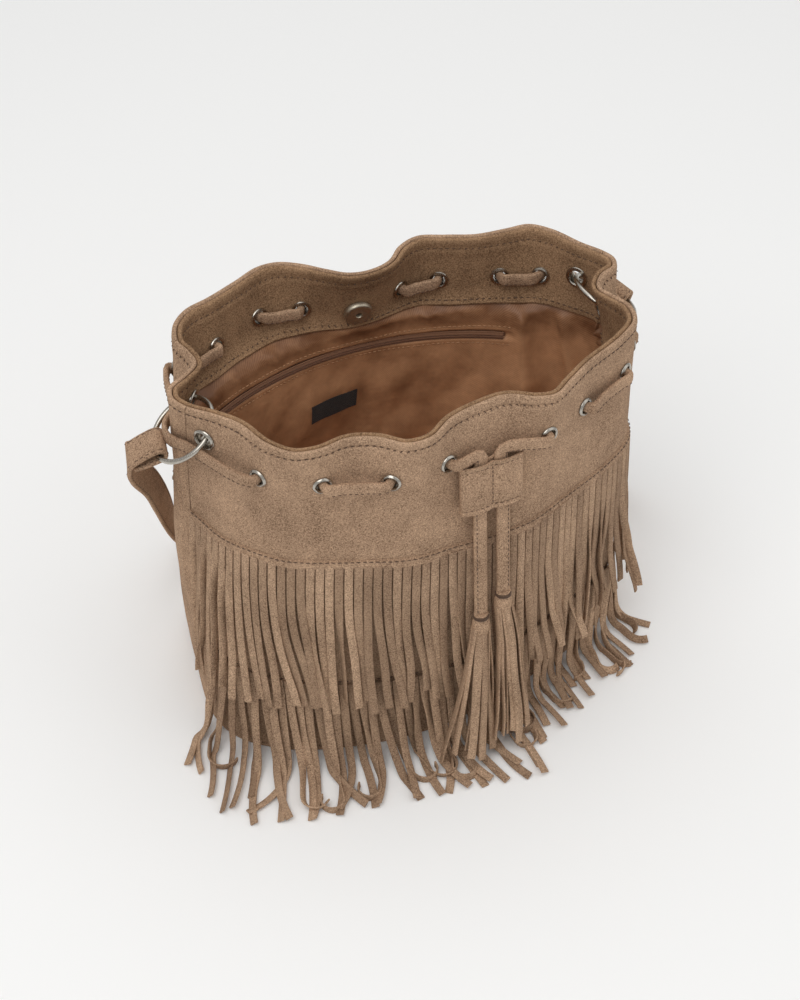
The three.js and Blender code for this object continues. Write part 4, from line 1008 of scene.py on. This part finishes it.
# Nodes that keep their shape get their finish.
for name, material in (("zip_slider", nickel), ("zip_puller", nickel), ("base_board", base_fibre),
                       ("zip_tape", zip_tape_cloth), ("pocket_bag", pocket_satin),
                       ("snap_washer_back", nickel), ("snap_washer_front", nickel)):
    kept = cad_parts[name]
    kept.data.materials.clear()
    kept.data.materials.append(material)

# The bare woven label, sewn on at its two ends and lying on the lining.
label_half = LABEL_SIZE[0] / 2 / section_length(2, LABEL_Z)
label_at = np.linspace(LABEL_PLACE - label_half, LABEL_PLACE + label_half, 40)
label_zs = np.linspace(LABEL_Z - LABEL_SIZE[1] / 2, LABEL_Z + LABEL_SIZE[1] / 2, 9)
label_loops = []
for p in label_at:
    face = lining_points(np.full(9, p), label_zs, 0.35)
    back = lining_points(np.full(9, p), label_zs[::-1], 0.05)
    label_loops.append(np.vstack([face, back]))
finished(swept("bare_label", label_loops), label_cloth, "bag", "label", slot="black_tape")
ends = np.array([[p, z] for p in (label_at[2], label_at[-3]) for z in np.arange(136.5, 150.5, 1.7)])
label_face = -np.concatenate([outward(ends[:, 0], LABEL_Z), np.zeros((len(ends), 1))], -1)
stitches("label_stitch", lining_points(ends[:, 0], ends[:, 1], 0.4), np.tile(UP, (len(ends), 1)),
         label_face, label_cloth, (1.2, 0.35, 0.35))


# ---- Strap ------------------------------------------------------------------------------------


def strap_end(spot, angle, down, overlap, side):
    """The strap's short end, its turn round the ring and the start of its long side.

    The long side lies over the short end where side is 1, and under it where side is -1."""
    centre, out, level = spot
    wire = centre + RING_RADIUS * (out * math.cos(angle) + level * math.sin(angle))
    width = unit(level * math.cos(angle) - out * math.sin(angle))
    down = np.array(down)
    run = unit(down - width * (down @ width))
    face = np.cross(width, run)
    bow = RING_RADIUS - math.sqrt(RING_RADIUS ** 2 - (STRAP_WIDTH / 2) ** 2)
    radial = unit(wire - centre)
    fold = min(0, -bow * (radial @ run)) - 0.3
    lean = -bow * (radial @ face) / 2
    turn = RING_WIRE + 0.6 + STRAP_THICK / 2 + abs(lean)
    ply = (STRAP_THICK + 0.4) / 2
    half = [(a, 0, ply) for a in (overlap, 24) if 15 < a <= overlap]
    half += [(15, lean * 0.4, ply + 0.3), (8, lean, turn - 0.5), (3, lean, turn),
             (fold, lean, turn), (fold - 0.71 * turn, lean, 0.71 * turn)]
    stations = [(a, m - side * c) for a, m, c in half] + [(fold - turn, lean)]
    stations += [(a, m + side * c) for a, m, c in reversed(half)]
    return [wire + run * a + face * c for a, c in stations], width


STRAP_ROUTE = [
    (-169, -5, 201), (-166, 3, 186), (-157, 16, 162), (-151, 32, 134), (-146, 50, 104),
    (-141, 70, 72), (-134, 92, 40), (-121, 113, 15), (-101, 131, 3.2), (-66, 148, 1.5),
    (-20, 161, 1.5), (30, 166, 1.5), (76, 161, 1.5), (120, 146, 1.5),
    (153, 125, 3.2), (170, 98, 22), (171, 80, 62), (167, 72, 110), (162, 68, 155),
]
STRAP_ACROSS = [
    (0.2, 0.95, 0.3), (0.3, 0.9, 0.3), (0.4, 0.85, 0.35), (0.45, 0.8, 0.4), (0.4, 0.8, 0.4),
    (0.25, 0.85, 0.4), (0, 0.85, 0.5), (-0.4, 0.85, 0.3), (-0.6, 0.8, 0), (-0.4, 0.92, 0),
    (-0.2, 0.98, 0), (0, 1, 0), (0.2, 0.98, 0), (0.5, 0.85, 0),
    (0.75, 0.65, 0), (0.85, 0.5, 0.1), (0.6, 0.8, 0.1), (0.2, 0.97, 0.1), (0, 0.99, 0.1),
]


def ribbon_frames(points, across):
    """The directions across a ribbon and out of its face, square to its run."""
    along = unit(np.gradient(points, axis=0))
    across = unit(across - along * (across * along).sum(1, keepdims=True))
    return across, np.cross(across, along)


def strap_line():
    """The strap's middle line, from its left short end to its right one, and its way across."""
    left, left_across = strap_end(LEFT_RING, math.radians(12), (-0.9, 0.05, -0.42), 15, 1)
    right, right_across = strap_end(RIGHT_RING, math.radians(-34), (0.1, 0.1, -0.97), 34, -1)
    points = left + list(STRAP_ROUTE) + right[::-1]
    across = [left_across] * len(left) + list(STRAP_ACROSS) + [-right_across] * len(right)
    return spline(points, steps=6), unit(spline(across, steps=6))


strap_points, strap_across = strap_line()
strap_points[:, 2] = np.maximum(strap_points[:, 2], STRAP_THICK / 2 + 0.05)
strap_across, strap_face = ribbon_frames(strap_points, strap_across)
w, t = STRAP_WIDTH / 2, STRAP_THICK / 2
strap_section = [(-w + 0.3, -t * 0.7), (-w + 1, -t), (0, -t), (w - 1, -t), (w - 0.3, -t * 0.7),
                 (w, 0), (w - 0.3, t * 0.7), (w - 1, t), (0, t * 1.03), (-w + 1, t),
                 (-w + 0.3, t * 0.7), (-w, 0)]
strap_loops = [[p + a * x + f * y for x, y in strap_section]
               for p, a, f in zip(strap_points, strap_across, strap_face)]
finished(swept("suede_strap", strap_loops, smooth_angle=60), bag_suede, "bag", "strap", slot="suede")
strap_run = run_along(strap_points)
run_at = np.arange(3, strap_run[-1] - 3, STITCH_PITCH)
strap_out = read_at(run_at, strap_run, strap_face)
for side, edge_label in ((-1, "b"), (1, "a")):
    edge = read_at(run_at, strap_run, strap_points + strap_across * side * (w - 1.8))
    for face_side, face_label in ((-1, "d"), (1, "c")):
        stitches(f"strap_stitch_{edge_label}{face_label}", edge + strap_out * face_side * (t + 0.02),
                 unit(np.gradient(edge, axis=0)), strap_out * face_side, suede_thread,
                 (2.6, 0.6, 0.55), seed=11)


# ---- Drawcord ---------------------------------------------------------------------------------

TAIL_RUN = unit(np.array([0, -TAIL_LEAN, -1.0]))
KEEPER_ACROSS = np.array([math.cos(KEEPER_YAW), math.sin(KEEPER_YAW), 0])
KEEPER_OUT = unit(np.cross(KEEPER_ACROSS, -TAIL_RUN))


def tail_point(side, z):
    """A point on one of the cord's two tails, at a height."""
    return KEEPER + KEEPER_ACROSS * side * TAIL_SPACING / 2 + TAIL_RUN * (z - KEEPER[2]) / TAIL_RUN[2]


def through_eyelet(spot, before, after, outside_first):
    """The cord's points where it passes through an eyelet, leaning towards its neighbours."""
    point, _, out = spot
    found = []
    for neighbour, outside in ((before, outside_first), (after, not outside_first)):
        aim = neighbour - point
        aim = unit(aim - out * (aim @ out))
        found.append(point + out * (5.2 if outside else -10.4) + aim * 2.1)
    return [found[0], point - out * 2.6, found[1]]


LONG_SPAN_OUT = 3.6


def span(first, second, outside):
    """Points of the cord between two eyelets, kept clear of the wall."""
    gap = CORD_PLACES[second] - CORD_PLACES[first]
    gap -= 4 * round(gap / 4)
    chord = EYELETS[second][0] - EYELETS[first][0]
    wide = abs(gap) > 0.3
    shares = (0.12, 0.26, 0.4, 0.52, 0.64, 0.76, 0.88) if wide else (0.3, 0.5, 0.7)
    found = []
    for share in shares:
        place = CORD_PLACES[first] + gap * share
        z = CORD_HOLE_Z - (3 * math.sin(math.pi * share) ** 0.5 if wide else 0)
        surface = wall(place, z)
        out = np.append(outward(place, z), 0)
        least = 4.4 if outside else -8.4
        straight = (EYELETS[first][0] + chord * share + out * least - surface) @ out
        away = max(straight, least) if outside else min(straight, least)
        found.append(surface + out * (LONG_SPAN_OUT if wide else away))
    return found


def drawcord_route():
    """The whole cord: up one tail, round through every eyelet and down the other tail."""
    order = [3, 2, 1, 0, 15, 14, 13, 12, 11, 10, 9, 8, 7, 6, 5, 4]
    above = KEEPER[2] + KEEPER_SIZE[1] / 2 + 4.5
    tops = tail_point(-1, above), tail_point(1, above)
    points = [tail_point(-1, z) for z in (COLLAR_TOP["left"], 130, 150, 175, 195, 212, above)]
    for i, spot in enumerate(order):
        before = tops[0] if i == 0 else EYELETS[order[i - 1]][0]
        after = tops[1] if i == 15 else EYELETS[order[i + 1]][0]
        points += through_eyelet(EYELETS[spot], before, after, i % 2 == 0)
        if i < 15:
            points += span(spot, order[i + 1], i % 2 == 1)
    points += [tail_point(1, z) for z in (above, 212, 195, 175, 150, COLLAR_TOP["right"])]
    return np.array(points)


cord_line = spline(drawcord_route(), steps=5)
cord_along = unit(np.gradient(cord_line, axis=0))
# Its width stands upright round the rim, and lies across the front on the two tails.
in_front = np.abs(cord_line[:, 0] - KEEPER[0]) < 26
tail_share = np.where(in_front & (cord_line[:, 1] < -60),
                      smooth(np.abs(cord_along[:, 2]), 0.15, 0.75), 0)[:, None]
half_way = (np.arange(len(cord_line)) < len(cord_line) / 2)[:, None]
cord_across = UP * (1 - tail_share) + KEEPER_ACROSS * np.where(half_way, 1, -1) * tail_share
cord_across, cord_face = ribbon_frames(cord_line, cord_across)
eyelet_points = np.array([spot[0] - spot[2] * 2.5 for spot in EYELETS])
to_hole = np.linalg.norm(cord_line[:, None] - eyelet_points, axis=2).min(1)
squeeze = 1 - smooth(to_hole, 3.5, 9)
cord_half = np.stack([4.3 - 1.2 * squeeze, 1.75 + 0.65 * squeeze], -1)
turns = circle(16)
round_x = np.sign(np.cos(turns)) * np.abs(np.cos(turns)) ** 0.6
round_y = np.sign(np.sin(turns)) * np.abs(np.sin(turns)) ** 0.75
cord_loops = [p + np.outer(round_x * h[0], a) + np.outer(round_y * h[1], f)
              for p, a, f, h in zip(cord_line, cord_across, cord_face, cord_half)]
drawcord = finished(swept("suede_drawcord", cord_loops, smooth_angle=70), bag_suede, "bag",
                    "drawcord", slot="suede")
cord_run = run_along(cord_line)
CORD_LENGTH = cord_run[-1]
run_at = np.arange(3, CORD_LENGTH - 3, 3.3)
# The cord isn't sewn where an eyelet squeezes it.
run_at = run_at[np.interp(run_at, cord_run, squeeze) < 0.15]
for label, face_side in (("outer", 1), ("inner", -1)):
    edge = cord_line - cord_across * 2.7 + cord_face * face_side * 1.68
    stitches(f"cord_{label}_stitch", read_at(run_at, cord_run, edge),
             read_at(run_at, cord_run, cord_along), read_at(run_at, cord_run, cord_face) * face_side,
             suede_thread, (2.2, 0.6, 0.6), seed=12)


# ---- Keeper -----------------------------------------------------------------------------------


def keeper_loop(level, inner):
    """The keeper's flat tube at one height, with a sewn dip between its two channels."""
    half_w, half_t = KEEPER_SIZE[0] / 2, KEEPER_SIZE[2] / 2
    loop = []
    for a in circle(72):
        x = math.copysign(abs(math.cos(a)) ** 0.55, math.cos(a)) * (half_w - (1.5 if inner else 0))
        y = math.copysign(abs(math.sin(a)) ** 0.7, math.sin(a)) * half_t
        dip = 1 - 0.5 * math.exp(-(x / 2.6) ** 2)
        welt = 0.55 * (math.exp(-((abs(level) - 16.0) / 0.9) ** 2)
                       - 0.8 * math.exp(-((abs(level) - 13.6) / 0.7) ** 2))
        reach = max(0, abs(y * dip) - KEEPER_PLY) if inner else abs(y * dip) + welt
        out_y = math.copysign(1, y) * reach
        loop.append(KEEPER + KEEPER_ACROSS * x + KEEPER_OUT * out_y - TAIL_RUN * level)
    return loop


levels = [-16.6, -16.3, -15.6, -14.4, -13.6, -12.8, -8, -3, 3, 8, 12.8, 13.6, 14.4, 15.6, 16.3, 16.6]
keeper_rings = [keeper_loop(z, False) for z in levels]
keeper_rings += [keeper_loop(z, True) for z in (16.2, 10, 0, -10, -16.2)]
keeper_rings = np.array(keeper_rings).transpose(1, 0, 2)
keeper = swept("suede_keeper", keeper_rings, closed=True)
finished(keeper, bag_suede, "cord_keeper", "cord_keeper", slot="suede")
seat_levels = np.arange(-12, 12.5, 3.0)
seats = np.array([KEEPER + KEEPER_OUT * 2.2 - TAIL_RUN * z for z in seat_levels])
stitches("keeper_stitch", seats, np.tile(-TAIL_RUN, (len(seats), 1)),
         np.tile(KEEPER_OUT, (len(seats), 1)), suede_thread, (2.2, 0.6, 0.6), body="cord_keeper")
for label, level in (("bottom", -13.7), ("top", 13.7)):
    xs = np.arange(-17, 17.5, 3.2)
    reach = KEEPER_SIZE[2] / 2 * (1 - np.abs(xs / 20) ** 3.6) ** 0.35
    reach = reach * (1 - 0.5 * np.exp(-(xs / 2.6) ** 2))
    seats = (KEEPER + np.outer(xs, KEEPER_ACROSS) + np.outer(reach - 0.45, KEEPER_OUT)
             - TAIL_RUN * level)
    stitches(f"keeper_{label}_stitch", seats, np.tile(KEEPER_ACROSS, (len(xs), 1)),
             np.tile(KEEPER_OUT, (len(xs), 1)), suede_thread, (2.2, 0.55, 0.5), body="cord_keeper")


# ---- Tassels ----------------------------------------------------------------------------------

TASSEL_ROUTES = {
    "left": [(21.6, -97.5, 84), (20, -101, 62), (18, -104.5, 40), (15.5, -109, 20), (13, -115, 6)],
    "right": [(40, -96, 92), (41, -98.5, 70), (42, -101.5, 48), (42.5, -105, 28), (41, -111, 12)],
}
TASSEL_STRIPS = 14
TASSEL_SPREAD = {"left": 15.5, "right": 10.5}
FLOOR_CLEAR = 0.75


def collar_loops(side, name):
    """The rolled head of a tassel: a lapped tube that opens a little towards its foot."""
    top = tail_point(side, COLLAR_TOP[name])
    loops = []
    for down, wide in ((0, 4.2), (0.5, 4.6), (1.0, 4.2), (3.2, 4.1), (4.0, 4.8), (7, 5.5), (10, 5.7),
                       (12, 5.2), (15.4, 4.4), (15.8, 4.0)):
        loop = []
        for a in circle(40):
            lap = 0.55 * math.exp(-((a - 4.4) / 0.3) ** 2) + 0.16 * math.sin(5 * a + down * 0.2)
            reach = wide + lap
            loop.append(top + TAIL_RUN * down + KEEPER_ACROSS * reach * math.cos(a)
                        + KEEPER_OUT * reach * 0.92 * math.sin(a))
        loops.append(loop)
    return loops


def tassel_paths(name, seed):
    """Strips that leave the collar together and spread as they hang."""
    rng = np.random.default_rng(seed)
    side = -1 if name == "left" else 1
    foot = tail_point(side, COLLAR_TOP[name]) + TAIL_RUN * 9.5
    centre = spline([foot] + TASSEL_ROUTES[name], steps=6)
    share = np.linspace(0, 1, len(centre))
    paths, faces = [], []
    for k in range(TASSEL_STRIPS):
        inner = k % 3 == 2
        turn = 2 * math.pi * (k + 0.3 * rng.normal()) / TASSEL_STRIPS
        ray = KEEPER_ACROSS * math.cos(turn) * 1.15 + KEEPER_OUT * math.sin(turn) * 0.7
        wide = TASSEL_SPREAD[name] * (1 + 0.2 * rng.normal())
        spread = np.interp(share, [0, 0.12, 0.5, 1], [4.4, 5.2, 0.55 * wide + 1.5, wide])
        spread = spread * (0.5 if inner else 1)
        sway = KEEPER_ACROSS * 1.6 * rng.normal() * np.sin(share * rng.uniform(3, 7))[:, None]
        path = centre + ray * spread[:, None] + sway * share[:, None]
        run = run_along(path)
        path = read_at(np.linspace(0, run[-1] * rng.uniform(0.9, 1.0), 30), run, path)
        path[:, 2] = np.maximum(path[:, 2], FLOOR_CLEAR + 2.2 + 0.4 * (k % 4))
        along = unit(np.gradient(path, axis=0))
        twist = rng.normal() * 0.9 * smooth(np.linspace(0, 1, 30), 0.2, 1.0)[:, None]
        flat = unit(ray - along * (along @ ray)[:, None])
        faces.append(flat * np.cos(twist) + np.cross(along, flat) * np.sin(twist))
        paths.append(path)
    return np.array(paths), np.array(faces), rng.uniform(0, 1, TASSEL_STRIPS)


tassel_pieces = []
for name, side, seed in (("left", -1, 41), ("right", 1, 42)):
    collar = swept(f"{name}_tassel_head", collar_loops(side, name), smooth_angle=70)
    finished(collar, bag_suede, "bag", f"{name}_tassel_collar", slot="suede")
    wraps = []
    for down in (1.5, 2.6):
        top = tail_point(side, COLLAR_TOP[name]) + TAIL_RUN * down
        profile = [(4.45 + 0.55 * math.cos(a), 0.5 * math.sin(a)) for a in circle(8)]
        wraps.append(turned(f"wrap_{down}", top, TAIL_RUN, profile, 28))
    wrap = joined(f"{name}_tassel_wrap", wraps)
    finished(wrap, suede_thread, "bag")
    paths, faces, tones = tassel_paths(name, seed)
    strips = cut_strips(f"{name}_tassel_cut_strips", paths, faces, tones, 5.2, 1.1, fringe_suede)
    finished(strips, fringe_suede, "bag", f"{name}_tassel_strips", slot="suede")
    tassel_pieces += [collar, wrap, strips]


# ---- Fringes ----------------------------------------------------------------------------------

FRINGE_PITCH = 5.6
FRINGE_WIDTH = 5.1
FRINGE_THICK = 1.15
UPPER_TOP_Z = YOKE_SEAM_Z - 2
FRINGE_RUN = {"upper_fringe": section_length(0, UPPER_TOP_Z),
              "lower_fringe": section_length(0, LOWER_SEAM_Z)}
FRINGE_COUNT = {name: int(run / FRINGE_PITCH) for name, run in FRINGE_RUN.items()}
FRINGE_POINTS = 34
UPPER_LENGTH = 118
LOWER_LENGTH = 105
LOWER_POINTS = 44
FLOOR_STEPS = 44
FLOOR_REACH = (168, 138)
FOOT_PLACES = np.linspace(0, 4, 400, endpoint=False)


def even_path(path, length, count=FRINGE_POINTS):
    """The first so many millimetres of a path, as evenly spaced points."""
    run = run_along(path)
    return read_at(np.linspace(0, min(length, run[-1]), count), run, path)


def facing_along(path, start, twist):
    """The flat side's direction along a strip, carried along it and twisted by the given turn."""
    along = unit(np.gradient(path, axis=0))
    flat = []
    now = start
    for step in along:
        now = unit(now - step * (step @ now))
        flat.append(now)
    flat = np.array(flat)
    twist = twist[:, None]
    return flat * np.cos(twist) + np.cross(along, flat) * np.sin(twist)


def upper_strip(i, rng):
    """A strip that hangs from the yoke's edge, close to its neighbours and then freely."""
    share = (i + 0.5) / FRINGE_COUNT["upper_fringe"]
    place = 0.002 + 0.996 * share
    left = 1 - smooth(share, 0.03, 0.14)
    right = smooth(share, 0.66, 0.95)
    loose = 1 + 2.1 * right + 1.3 * left
    t = np.linspace(0, 1, 60)
    start = rng.uniform(0.12, 0.4) * (1 - 0.7 * left) + 0.06 * right
    free = smooth(t, start, 1.08)
    drift = 3.5 + 5.5 * waves(np.array(i * 0.33), 51, 3) + 1.4 * rng.normal() * loose
    drift = drift - 12 * left + 3 * smooth(share, 0.93, 1)
    sway = 1.35 * rng.normal() * loose * np.sin(t * rng.uniform(5, 9) + rng.uniform(0, 3))
    lateral = (drift + sway) * free
    z = UPPER_TOP_Z - (UPPER_LENGTH - 3 + 3.5 * rng.normal()) * t
    off = np.interp(z, [42, 57, 80, 112, 140, UPPER_TOP_Z], [8.0, 6.4, 4.6, 3.1, 2.3, 1.7])
    lift = (1.5 * (i % 2) + 1.4 * abs(rng.normal()) * loose) * free
    curl = 6 * max(0, rng.normal() - 0.1) * smooth(t, 0.75, 1.05)
    here = place + lateral / FRINGE_RUN["upper_fringe"]
    side = outward(here, z)
    flat = plan(here, z) + side * (off + lift + curl)[:, None]
    path = even_path(np.concatenate([flat, z[:, None]], -1), UPPER_LENGTH + 2 * rng.normal())
    odd = rng.uniform() < 0.14 * loose + 0.35 * left
    turn = rng.normal() * 0.25 + (rng.choice([-1, 1]) * rng.uniform(0.9, 1.5) if odd else 0)
    twist = turn * smooth(np.linspace(0, 1, FRINGE_POINTS), start * 0.6, 0.7 - 0.42 * left)
    face = np.append(outward(place, 150.0), 0.0)
    return path, facing_along(path, face, twist)


def floor_run(point, heading, ways, length, level):
    """Points of a strip's run on the floor, turning by so much at each step of its length."""
    step = length / FLOOR_STEPS
    found = []
    here = np.array(point, float)
    for way in ways:
        heading = heading + way * step
        here = here + np.array([math.cos(heading), math.sin(heading), 0]) * step
        here[2] = max(level, here[2] - 0.25 * step)
        found.append(here.copy())
    return np.array(found)


def on_floor(path, faces, width):
    """A strip lifted wherever its edge would go below the floor."""
    across = np.cross(unit(np.gradient(path, axis=0)), faces)
    low = np.abs(across[:, 2]) * width / 2 + np.abs(faces[:, 2]) * FRINGE_THICK / 2 + 0.15
    path[:, 2] = np.maximum(path[:, 2], low)
    return path, faces


def inside_foot(points, margin=2.0):
    """Whether any point lies over the bag's own foot."""
    foot = plan(FOOT_PLACES, 4.0)
    spoke = np.arctan2(foot[:, 1], foot[:, 0])
    reach = np.linalg.norm(foot, axis=1)
    limit = np.interp(np.arctan2(points[:, 1], points[:, 0]), spoke, reach, period=2 * math.pi)
    return bool((np.linalg.norm(points[:, :2], axis=1) < limit + margin).any())


def eased(path, reach=3):
    """A path with its kinks rounded, each point the mean of its neighbours."""
    near = np.pad(path, ((reach, reach), (0, 0)), mode="edge")
    return np.mean([near[k:k + len(path)] for k in range(2 * reach + 1)], axis=0)


def lower_strip(i, rng):
    """A strip that hangs from the lower seam, meets the floor and runs outward on it."""
    share = (i + 0.5) / FRINGE_COUNT["lower_fringe"]
    place = 0.004 + 0.992 * share
    left = 1 - smooth(share, 0.02, 0.16)
    turn = rng.uniform(8, 15)
    lean = rng.uniform(0.1, 0.42) * (1 - 0.45 * smooth(share, 0.5, 0.8))
    drift = 3 * waves(np.array(i * 0.45), 61, 3) + 2.2 * rng.normal() - 6 * left
    level = FLOOR_CLEAR + 1.25 * (i % 3)
    pitch, off, z = lean * 0.3, 1.9, LOWER_SEAM_Z - 0.5
    table = []
    while pitch < math.pi / 2 - 0.03 and z > level + 0.05:
        table.append((off, z))
        goal = lean * min(1, (LOWER_SEAM_Z - z) / 12)
        if z - level < turn * (1 - math.sin(pitch)):
            pitch += 1 / turn
        else:
            pitch += (goal - pitch) * 0.2
        off += math.sin(pitch)
        z -= math.cos(pitch)
    table.append((off, level))
    table = np.array(table)
    t = np.linspace(0, 1, len(table))
    here = place + drift * smooth(t, 0.1, 1.2) / FRINGE_RUN["lower_fringe"]
    side = outward(here, table[:, 1])
    layer = 1.3 * (i % 2) * smooth(t, 0, 0.4)
    hang = np.concatenate([plan(here, table[:, 1]) + side * (table[:, 0] + layer)[:, None],
                           table[:, 1:]], -1)
    length = LOWER_LENGTH + 4 * rng.normal() - 24 * smooth(share, 0.5, 0.78) - 6 * left
    used = run_along(hang)[-1]
    start = hang[-1] - hang[-3]
    # On the floor the strips turn a little towards the front of the bag.
    heading = math.atan2(start[1], start[0])
    heading += (0.3 + 0.5 * left) * math.sin(-math.pi / 2 - heading)
    kind = rng.uniform()
    hooked = kind > 0.84 - 0.26 * smooth(share, 0.5, 0.8)
    # A strip that would run under the bag or too far out is bent another way, and shortened.
    for _ in range(40):
        first = rng.normal() * 0.006
        bend = rng.choice([-1, 1]) * (rng.uniform(0.1, 0.14) if hooked else rng.uniform(0.004, 0.018))
        begin = rng.uniform(0.25, 0.5) if hooked else (0.3 if kind > 0.6 else 2)
        ways = np.where(np.linspace(0, 1, FLOOR_STEPS) > begin, bend, first)
        run = floor_run(hang[-1], heading + rng.normal() * 0.13, ways, max(10, length - used), level)
        beside, front = abs(run[:, 0]).max(), run[:, 1].min()
        if not inside_foot(run) and beside < FLOOR_REACH[0] and front > -FLOOR_REACH[1]:
            break
        length -= 0.8
    path = np.vstack([hang, run])
    path = even_path(np.vstack([path[:1], eased(path)[1:]]), length, LOWER_POINTS)
    face = np.append(outward(place, 50.0), 0.0)
    t = np.linspace(0, 1, LOWER_POINTS)
    roll = rng.choice([-1, 1]) * 1.35 if hooked else rng.normal() * 0.2
    sway = rng.choice([-1, 1]) * 0.9 if rng.uniform() < 0.2 else 0.25 * rng.normal()
    twist = roll * smooth(t, 0.35, 0.7) + sway * np.sin(math.pi * smooth(t, 0.05, 0.6))
    return on_floor(path, facing_along(path, face, twist), FRINGE_WIDTH)


for name, strip, seed, behind in (("upper_fringe", upper_strip, 71, "front_yoke_suede"),
                                  ("lower_fringe", lower_strip, 72, "front_lower_suede")):
    rng = np.random.default_rng(seed)
    made = [strip(i, rng) for i in range(FRINGE_COUNT[name])]
    paths = np.array([path for path, face in made])
    faces = np.array([face for path, face in made])
    tones = rng.uniform(0, 1, FRINGE_COUNT[name])
    piece = cut_strips(f"{name}_strips", paths, faces, tones, FRINGE_WIDTH, FRINGE_THICK, fringe_suede)
    finished(piece, fringe_suede, "bag", name, slot="suede")


# ---- Stage ------------------------------------------------------------------------------------


def lamp(name, place, aim, width, height, power, tint=(1, 1, 1)):
    """A soft rectangular light that faces its aim."""
    data = bpy.data.lights.new(name, "AREA")
    data.shape = "RECTANGLE"
    data.size = width
    data.size_y = height
    data.energy = power
    data.color = tint
    made = bpy.data.objects.new(name, data)
    bpy.context.scene.collection.objects.link(made)
    made.location = place
    made.rotation_euler = (Vector(aim) - Vector(place)).to_track_quat("-Z", "Y").to_euler()


lamp("key_light", (-0.7, -0.8, 1.8), (0, 0, 0.1), 1.3, 1.3, 12)
lamp("fill_light", (1.4, -0.5, 1.3), (0, 0, 0.1), 1.6, 1.6, 4)
lamp("top_light", (0.0, 0.5, 2.2), (0, 0.2, 0.1), 2.2, 2.2, 12)

world = bpy.data.worlds.new("studio")
world.use_nodes = True
world.node_tree.nodes["Background"].inputs["Color"].default_value = (1, 1, 1, 1)
world.node_tree.nodes["Background"].inputs["Strength"].default_value = 0.53
bpy.context.scene.world = world
bpy.context.scene.view_settings.view_transform = "Standard"

floor = build("studio_floor", [(-4000, -4000, -0.2), (4000, -4000, -0.2), (4000, 4000, -0.2),
                               (-4000, 4000, -0.2)], [(0, 1, 2, 3)], 0)
paper = Finish("pale_floor", Roughness=0.9)
paper.shader.inputs["Base Color"].default_value = shade(250, 250, 249)
floor.data.materials.append(paper.material)

CAMERA_AIM = Vector((-0.005, -0.004, 0.130))
CAMERA_TURN = math.radians(-14)
CAMERA_LIFT = math.radians(44)
CAMERA_DISTANCE = 1.3
CAMERA_LENS = 74.9
toward = Vector((math.sin(CAMERA_TURN) * math.cos(CAMERA_LIFT),
                 -math.cos(CAMERA_TURN) * math.cos(CAMERA_LIFT), math.sin(CAMERA_LIFT)))
lens = bpy.data.cameras.new("camera")
lens.sensor_fit = "VERTICAL"
lens.sensor_height = 36
lens.lens = CAMERA_LENS
camera = bpy.data.objects.new("camera", lens)
bpy.context.scene.collection.objects.link(camera)
camera.location = CAMERA_AIM + toward * CAMERA_DISTANCE
camera.rotation_euler = (-toward).to_track_quat("-Z", "Y").to_euler()
bpy.context.scene.camera = camera
